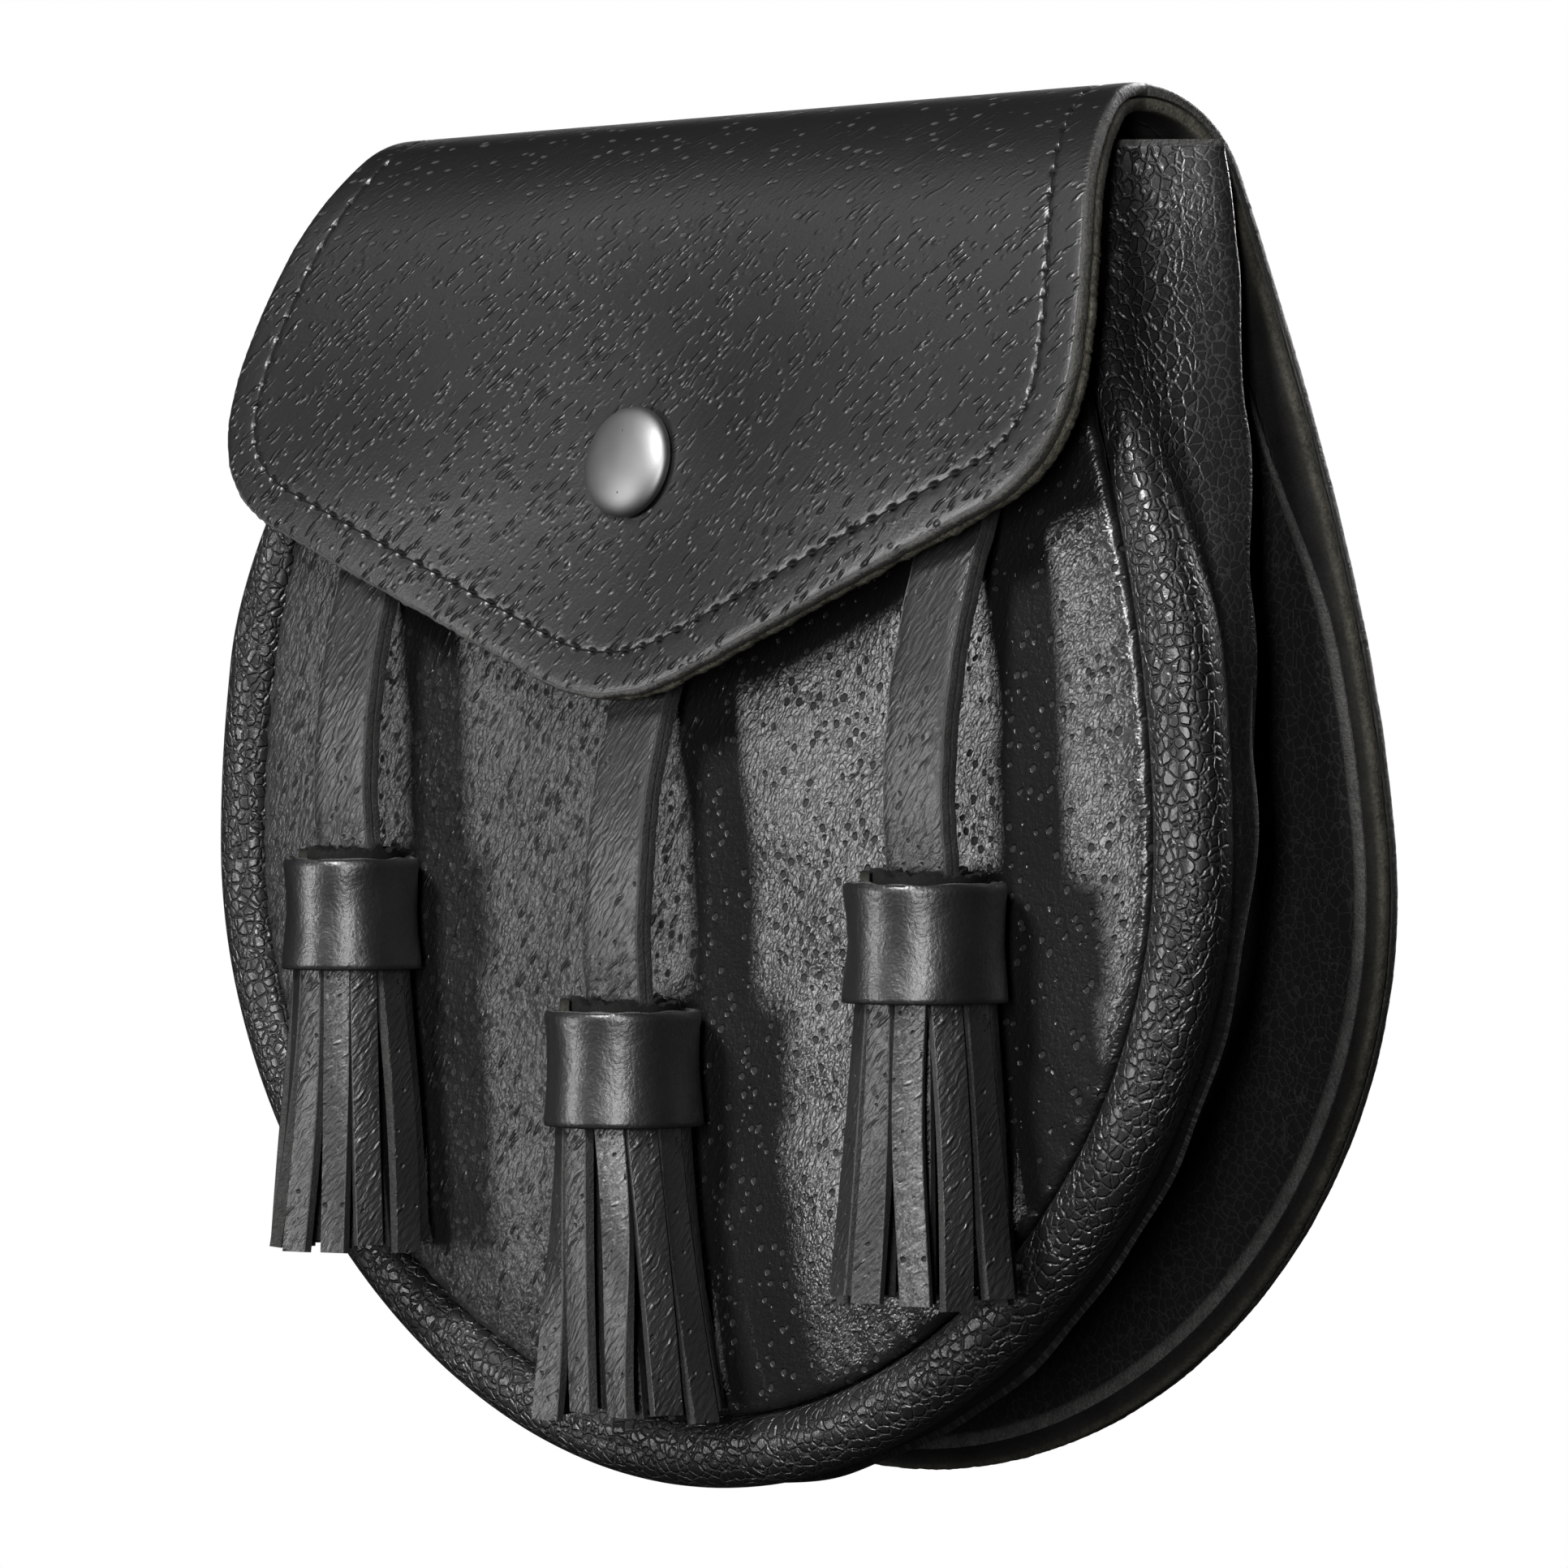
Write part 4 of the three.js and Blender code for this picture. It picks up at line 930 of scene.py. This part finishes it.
def turned_piece(name, profile, axis_at, axis, finish, replaced, sides=72):
    """A turned piece: the profile's radii swept round its axis, closed where they reach 0."""
    rows = np.array(profile, float)
    axis = np.asarray(axis, float)
    side = np.array([1.0, 0, 0])
    up = np.cross(axis, side)
    angle = np.linspace(0, 2 * math.pi, sides, endpoint=False)
    round_way = np.cos(angle)[:, None] * side + np.sin(angle)[:, None] * up
    points = np.asarray(axis_at) + rows[:, 0, None, None] * round_way + rows[:, 1, None, None] * axis
    quads = band_faces(len(rows), sides, closed_columns=True)
    piece = new_piece(name, points, quads, [], finish, crease=35)
    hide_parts(replaced)


def flap_run(height):
    """The run down the flap at which its outer face reaches a height, by halving."""
    low, high = 0.0, FLAP_LENGTH
    for _ in range(40):
        middle = (low + high) / 2
        low, high = (middle, high) if fold(-middle, 0)[1] > height else (low, middle)
    return -low


def snap():
    """The snap's domed cap with its shank and flare, and the stud that it closes on."""
    run = flap_run(SNAP_Z)
    y, _ = fold(run, 0)
    inner_y, inner_z = fold(run, 1.0)
    axis = np.array([0, float(y - inner_y), SNAP_Z - float(inner_z)])
    seat = 2 * GAP
    inside = -(OUTER_PLY + GAP + LINING_PLY) - 2 * GAP
    rim = 0.42
    profile = [
        (0, inside - 0.7), (3.9, inside - 0.7), (4.2, inside - 0.4), (4.2, inside), (2.2, inside),
        (2.2, GAP), (6.6, seat - 0.15), (7.3, seat - 0.05), (7.55, seat + 0.14),
    ]
    profile += [
        (SNAP_RADIUS * math.cos(turn), seat + rim + (SNAP_DOME - rim) * math.sin(turn))
        for turn in np.linspace(0.0, math.pi / 2, 22)[:-1]
    ]
    profile += [(0, seat + SNAP_DOME)]
    centre = (0, float(y) + float(pull(0, SNAP_Z)), SNAP_Z)
    turned_piece("snap_cap_metal", profile, centre, axis, METAL, "snap_cap")
    stud = [
        (0, 0), (4.6, 0), (4.6, 0.6), (4.3, 0.75), (2.9, 0.75), (2.75, 1.0), (2.8, 1.3),
        (2.4, 1.4), (0, 1.4),
    ]
    seat_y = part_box("snap_stud")[1].y / MM + HANG[1]
    turned_piece("snap_stud_metal", stud, (0, seat_y, SNAP_Z), (0, -1, 0), METAL, "snap_stud")


def two_ply_section():
    """A strap's section: two plies with corners rubbed round by wear and a dark nick between their edges. A
    quarter is mirrored to the right half, and that is turned round to the left half."""
    half, thick = STRAP_WIDTH / 2, STRAP_THICK / 2
    quarter = np.array([
        (half * 0.2, thick), (half * 0.6, thick), (half - 0.35, thick), (half - 0.08, thick - 0.12),
        (half, thick - 0.4), (half, 0.22), (half - 0.1, 0.1),
    ])
    right = np.concatenate([quarter, [(half - 0.35, 0)], quarter[::-1] * [1, -1]])
    section = np.concatenate([right, -right])
    raw = (np.abs(section[:, 0]) > half - 0.36).astype(float)
    raw[np.abs(section[:, 1]) > thick - 0.05] = 0
    return section, raw


PANEL_FACE = SEAM_Y - PANEL_PROUD
STRAP_REST = PANEL_FACE - GAP - STRAP_THICK / 2


def tassel_at(tassel):
    """The top middle of a tassel's collar, which hangs against the panel."""
    y = PANEL_FACE - GAP - tassel["girth"] * COLLAR_RADIUS
    return np.array([tassel["across"] * BACK_HALF, y, -tassel["drop"] * BACK_LENGTH])


def strap(tassel):
    """A strap from the panel to its collar, along a Catmull-Rom curve through its bow."""
    steps = 90
    collar_x, collar_y, collar_z = tassel_at(tassel)
    head, foot = tassel["anchor"] * PANEL_TOP, collar_z - STRAP_GRIP
    weights = through(len(BOW_DOWN), steps)
    y = weights @ mix(STRAP_REST, collar_y, np.array(BOW_OUT))
    z = weights @ mix(head, foot, np.array(BOW_DOWN))
    level = np.stack([z, z], axis=1)
    centre = np.stack([collar_x + 0.15 * ripple(level, 40, 51), y, z], axis=1)[None]
    across = np.zeros(centre.shape)
    across[..., 0] = 1 + 0.012 * ripple(level, 7, 52)
    out = np.cross(unit(np.gradient(centre, axis=1)), across)
    section, raw = two_ply_section()
    sheet = np.zeros((1, steps, len(section), 2))
    sheet[..., 0] = section[:, 0] + section[:, 1] * 0.5
    sheet[..., 1] = 200 * (tassel["across"] + 1) - np.linspace(0, head - foot, steps)[:, None]
    piece = bars(
        f"strap_{tassel['name']}_leather", centre, across, out, section,
        STRAP_LEATHER, sheet, raw, 30,
    )
    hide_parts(f"strap_{tassel['name']}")


def collar(tassel):
    """A collar: a waisted profile swept round, a little out of round, closed on itself."""
    radius = tassel["girth"] * COLLAR_RADIUS
    inner = radius - COLLAR_WALL
    foot = -COLLAR_HEIGHT
    profile = np.array([
        (inner, foot + 0.1), (radius - 0.9, foot), (radius - 0.2, foot + 0.02),
        (radius, foot + 0.25), (radius - 0.02, foot + 0.9), (radius - 0.14, foot * 0.84),
        (radius - 0.34, foot * 0.68), (radius - COLLAR_WAIST, foot * 0.5),
        (radius - COLLAR_WAIST, foot * 0.3), (radius - 0.36, foot * 0.16),
        (radius - 0.22, foot * 0.08), (radius - 0.2, foot * 0.04), (radius - 0.42, foot * 0.01),
        (radius - 1.0, 0), (inner + 0.1, foot * 0.02), (inner, foot * 0.06), (inner, foot * 0.5),
    ])
    sides = 96
    angle = np.linspace(0, 2 * math.pi, sides, endpoint=False)
    ring = np.stack([np.cos(angle), np.sin(angle)], axis=1)
    level = profile[:, 1, None] + np.zeros(sides)
    seed = 60 + int(100 * tassel["drop"])
    around = np.stack(np.broadcast_arrays(ring[:, 0] * 9, ring[:, 1] * 9, level), axis=-1)
    reach = profile[:, 0, None] + 0.1 * ripple(around, 9, seed)
    lip = ease(profile[:, 1], -0.3, 0)[:, None] * 0.16 * ripple(ring * 9, 5, seed + 1)
    sweep = np.stack([reach * ring[:, 0], reach * ring[:, 1], level + lip], axis=-1)
    round_way = np.where(angle > math.pi, angle - 2 * math.pi, angle) * radius
    sheet = np.stack(np.broadcast_arrays(round_way, level), axis=-1)
    cut = np.zeros(level.shape)
    cut[[0, 1, -4, -3]] = 1
    piece = new_piece(
        f"collar_{tassel['name']}_leather", tassel_at(tassel) + sweep,
        band_faces(len(profile), sides, closed_rows=True, closed_columns=True), [],
        COLLAR_LEATHER, sheet, cut, 50,
    )
    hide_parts(f"collar_{tassel['name']}")


def core(tassel):
    """The rolled head of a tassel: a strip wound in a spiral, with a ragged top edge."""
    steps = 260
    turn = np.linspace(0, 2 * math.pi * 3.6, steps)
    outer = tassel["girth"] * COLLAR_RADIUS - COLLAR_WALL - GAP - 0.9
    radius = mix(1.6, outer, turn / turn[-1])
    top = 1.1 + 0.45 * ripple(np.stack([turn * radius, turn * 3], axis=1), 5, 71)
    top += 0.25 * ripple(turn[:, None] * 9, 2.4, 72)
    foot = -COLLAR_HEIGHT - 0.6
    away = np.stack([np.cos(turn), np.sin(turn), np.zeros(steps)], axis=1)
    centre = tassel_at(tassel) + away * radius[:, None]
    centre[:, 2] += (top + foot) / 2
    across = np.zeros((1, steps, 3))
    across[0, :, 2] = (top - foot) / 2
    section = np.array([(1, 0.35), (0.985, 0.62), (-1, 0.62), (-1, -0.62), (0.985, -0.62), (1, -0.35)])
    sheet = np.zeros((1, steps, len(section), 2))
    sheet[..., 0] = (turn * radius)[:, None]
    sheet[..., 1] = section[:, 0] * 8
    piece = bars(
        f"core_{tassel['name']}", centre[None], across, away[None], section,
        FLESH_LEATHER, sheet, np.zeros(len(section)), 30,
    )
    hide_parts(f"fringe_{tassel['name']}")


def fringe(tassel, seed):
    """The strips of a tassel in two rings. Each follows its root outwards as a power of the way
    down, leans with the tassel, sways by a sine and twists by an eased turn."""
    rng = np.random.default_rng(seed)
    count = OUTER_STRIPS + INNER_STRIPS
    steps = 26
    ring = np.arange(count) >= OUTER_STRIPS
    order = np.where(ring, np.arange(count) - OUTER_STRIPS, np.arange(count))
    share = (order + rng.uniform(-0.06, 0.06, count)) / np.where(ring, INNER_STRIPS, OUTER_STRIPS)
    angle = 2 * math.pi * share
    radius = tassel["girth"] * COLLAR_RADIUS - COLLAR_WALL - STRIP_THICK / 2
    root = np.where(ring, 0.5 * radius, radius)
    down = np.linspace(0, 1, steps)
    spread = down**1.25
    front = np.sin(angle) < 0
    loose = rng.uniform(0, 1, count) ** 3
    flare_x = np.where(ring, 2.2, 2.8) + 3.2 * loose
    flare_y = np.where(ring, 1.2, np.where(front, 2.4, 0.1)) + np.where(front, 2.2, 0) * loose
    length = FRINGE_LENGTH * rng.uniform(0.955, 1.0, count)
    lean = tassel["lean"] * COLLAR_RADIUS
    sway = rng.normal(0, 0.35, (count, 1))
    sway = sway * np.sin(down * math.pi * rng.uniform(0.8, 1.6, (count, 1)))
    x = np.cos(angle)[:, None] * (root[:, None] + flare_x[:, None] * spread) + lean * spread + sway
    y = np.sin(angle)[:, None] * (root[:, None] + flare_y[:, None] * spread)
    z = -COLLAR_HEIGHT + 1.4 - down * (length[:, None] + 1.4)
    centre = np.stack([x, y, z], axis=-1) + tassel_at(tassel)
    centre[..., 1] = np.minimum(centre[..., 1], PANEL_FACE - GAP - STRIP_THICK / 2)
    twist = rng.normal(0, 0.14, count)
    twist = twist + loose * rng.choice([-0.8, 0.8], count)
    facing = angle[:, None] + twist[:, None] * ease(down, 0.1, 1.0)
    width = np.where(ring, 3.6, 4.15) * rng.uniform(0.94, 1.04, count) * tassel["girth"]
    bow = width[:, None] ** 2 / (2 * radius * STRIP_THICK) * mix(1.0, 0.25, down)
    across = np.stack([-np.sin(facing), np.cos(facing), np.zeros(facing.shape)], axis=-1)
    out = unit(np.cross(unit(np.gradient(centre, axis=1)), across))
    section = np.array([
        (-0.47, 0.5), (0, 0.5), (0.47, 0.5), (0.5, 0.4), (0.5, -0.42), (0.46, -0.5),
        (-0.46, -0.5), (-0.5, -0.42), (-0.5, 0.4),
    ])
    raw = np.array([0, 0, 0, 0.7, 1, 0.8, 0.8, 1, 0.7])
    sheet = np.zeros((count, steps, len(section), 2))
    sheet[..., 0] = section[:, 0] * width[:, None, None] + np.arange(count)[:, None, None] * 7.3
    sheet[..., 1] = z[:, :, None]
    piece = bars(
        f"fringe_{tassel['name']}_leather", centre, across * width[:, None, None],
        out * STRIP_THICK, section, STRAP_LEATHER, sheet, raw, 30, bow,
    )
    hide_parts(f"fringe_{tassel['name']}")


def off_back(x, out, along):
    """A place behind the back: out from its face and along it, turned by the back's lean."""
    y = HANG[1] + out * math.cos(BACK_LEAN) - along * math.sin(BACK_LEAN)
    z = HANG[2] + out * math.sin(BACK_LEAN) + along * math.cos(BACK_LEAN)
    return np.stack(np.broadcast_arrays(x, y, z), axis=-1)


def belt_loop(name, side):
    """A loop on the back: a strap carried along a bridge with round bends, foot to foot."""
    reach = LOOP_SLOT / 2
    foot = reach + LOOP_FOOT
    rest = GAP + LOOP_THICK / 2
    stand = LOOP_CLEAR + LOOP_THICK / 2
    slant = LOOP_CLEAR / 2
    upper = np.array([
        (stand, reach * 0.4), (stand - 0.3, reach - slant - 1.6), (mix(rest, stand, 0.5), reach - 0.2),
        (rest + 0.1, reach + 2.6), (rest, foot * 0.85), (rest, foot),
    ])
    knots = np.concatenate([upper[::-1] * [1, -1], [(stand, 0)], upper])
    steps = 90
    path = even(through(len(knots), 300) @ knots, steps)
    centre = off_back(side * LOOP_SPACING / 2, path[:, 0], path[:, 1])[None]
    from_end = np.minimum(np.arange(steps), np.arange(steps)[::-1]) / 3.0
    across = np.zeros((1, steps, 3))
    across[0, :, 0] = LOOP_WIDTH - 3.2 * np.maximum(1 - from_end, 0) ** 2
    out = unit(np.cross(across, unit(np.gradient(centre, axis=1)))) * LOOP_THICK
    edge = [(0.48, 0.5), (0.497, 0.4), (0.5, 0), (0.497, -0.4), (0.48, -0.5)]
    section = np.array([(-0.2, 0.5), (0.2, 0.5)] + edge + [(-x, -y) for x, y in edge])
    raw = (np.abs(section[:, 0]) > 0.49).astype(float)
    sheet = np.zeros((1, steps, len(section), 2))
    sheet[..., 0] = section[:, 0] * LOOP_WIDTH + side * 40
    sheet[..., 1] = np.linspace(0, 62, steps)[:, None]
    piece = bars(
        f"belt_loop_{name}_leather", centre, across, out, section,
        STRAP_LEATHER, sheet, raw, 30,
    )
    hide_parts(f"belt_loop_{name}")


def foot_stitches():
    """A row of stitches across the end of each loop's feet."""
    edge = LOOP_WIDTH / 2 - 2.4
    side, end, column = np.meshgrid([-1, 1], [-1, 1], np.linspace(-edge, edge, 6), indexing="ij")
    middle = (side * LOOP_SPACING / 2 + column).reshape(-1, 1)
    along = (end * (LOOP_SLOT / 2 + LOOP_FOOT - 1.8)).reshape(-1, 1)
    x = middle + np.array([-1.35, -0.81, 0, 0.81, 1.35])
    out = GAP + LOOP_THICK - 0.05 - np.array([0.5, 0.05, 0, 0.05, 0.5])
    centre = off_back(x, out, along)
    size = np.array([0.3, 0.42, 0.45, 0.42, 0.3])[:, None] * np.ones(centre.shape)
    lean = (math.cos(BACK_LEAN), math.sin(BACK_LEAN))
    up, away = size * [0, -lean[1], lean[0]], size * [0, lean[0], lean[1]]
    bars("loop_stitches", centre, up, away, THREAD_SECTION, THREAD, crease=80)


outer_ply()
lining_ply()
front_leather()
side_leather()
snap()
stitch_row("rim_stitches", 0.12, 0.23)
stitch_row("lining_stitches", OUTER_PLY + GAP + LINING_PLY - 0.1, -0.4)
for number, tassel in enumerate(TASSELS):
    strap(tassel)
    collar(tassel)
    core(tassel)
    fringe(tassel, 80 + number)
belt_loop("left", -1)
belt_loop("right", 1)
foot_stitches()

# The camera stands at the photograph's angle: to the right of the front, level, far off.
CAMERA_AT = (0.6740, -0.7245, -0.0457)
CAMERA_AIM = (0.01739, -0.02968, -0.0517)
FOCAL_PIXELS = 8912
PHOTO_PIXELS = 1932


def towards(obj, place, aim):
    """Places an object and turns its -Z to the aim, with its Y up."""
    back = unit(np.array(place) - np.array(aim))
    right = unit(np.cross([0, 0, 1], back))
    up = np.cross(back, right)
    rows = [[right[k], up[k], back[k], place[k]] for k in range(3)]
    obj.matrix_world = type(obj.matrix_world)(rows + [[0, 0, 0, 1]])


lens = bpy.data.cameras.new("camera")
lens.sensor_width = 36
lens.lens = 36 * FOCAL_PIXELS / PHOTO_PIXELS
lens.clip_start = 0.01
camera = bpy.data.objects.new("camera", lens)
bpy.context.scene.collection.objects.link(camera)
towards(camera, CAMERA_AT, CAMERA_AIM)
bpy.context.scene.camera = camera


def softbox(name, azimuth, elevation, distance, width, height, power, aim=(0, -0.03, -0.05)):
    """An area light at an angle from the front, facing a place on the pouch."""
    light = bpy.data.lights.new(name, "AREA")
    light.shape = "RECTANGLE"
    light.size = width
    light.size_y = height
    light.energy = power
    lamp = bpy.data.objects.new(name, light)
    bpy.context.scene.collection.objects.link(lamp)
    side, rise = math.radians(azimuth), math.radians(elevation)
    way = np.array([math.sin(side) * math.cos(rise), -math.cos(side) * math.cos(rise), math.sin(rise)])
    towards(lamp, tuple(np.array(aim) + distance * way), aim)


softbox("beside_camera", 36, 5, 1.15, 0.13, 0.5, 12)
softbox("high_front", 8, 36, 1.15, 0.28, 0.28, 28)
softbox("left", -34, 0, 1.15, 0.2, 0.3, 7, aim=(0.02, -0.033, -0.088))
softbox("upper_left", -52, 42, 1.2, 0.45, 0.45, 1.0)
softbox("behind_left", -130, 17, 1.2, 0.5, 0.3, 0.4)
softbox("behind", -170, 28, 1.4, 0.8, 0.8, 45)

world = bpy.data.worlds.new("studio")
bpy.context.scene.world = world
world.use_nodes = True
world.node_tree.nodes["Background"].inputs["Color"].default_value = (1, 1, 1, 1)
world.node_tree.nodes["Background"].inputs["Strength"].default_value = 0.01


def cyclorama():
    """A pale floor that sweeps up into a round wall: a profile with a quarter-circle cove swept
    round a full turn. It shines white to the camera and lights nothing."""
    finish = Finish("paper_white")
    glow = finish.node("ShaderNodeEmission", {}, {"Color": (1, 1, 1, 1), "Strength": 1.0})
    finish.node("ShaderNodeOutputMaterial", {}, {0: glow})
    floor, radius, cove, top, sides = -0.45, 4.0, 1.5, 5.0, 64
    turn = np.linspace(0, math.pi / 2, 12)
    profile = [(0.0, floor)] + [
        (radius - cove + cove * math.sin(a), floor + cove * (1 - math.cos(a))) for a in turn
    ] + [(radius, top)]
    rows = np.array(profile)
    angle = np.linspace(0, 2 * math.pi, sides, endpoint=False)
    points = np.stack([
        rows[:, 0, None] * np.cos(angle),
        rows[:, 0, None] * np.sin(angle),
        rows[:, 1, None] + 0 * angle,
    ], axis=-1)
    mesh = bpy.data.meshes.new("cyclorama")
    faces = band_faces(len(rows), sides, closed_columns=True)
    mesh.from_pydata(points.reshape(-1, 3).tolist(), [], faces.tolist())
    mesh.shade_smooth()
    mesh.materials.append(finish.material)
    stage = bpy.data.objects.new("cyclorama", mesh)
    bpy.context.scene.collection.objects.link(stage)
    stage.visible_diffuse = False
    stage.visible_glossy = False
    stage.visible_shadow = False


cyclorama()
bpy.context.scene.view_settings.view_transform = "Standard"
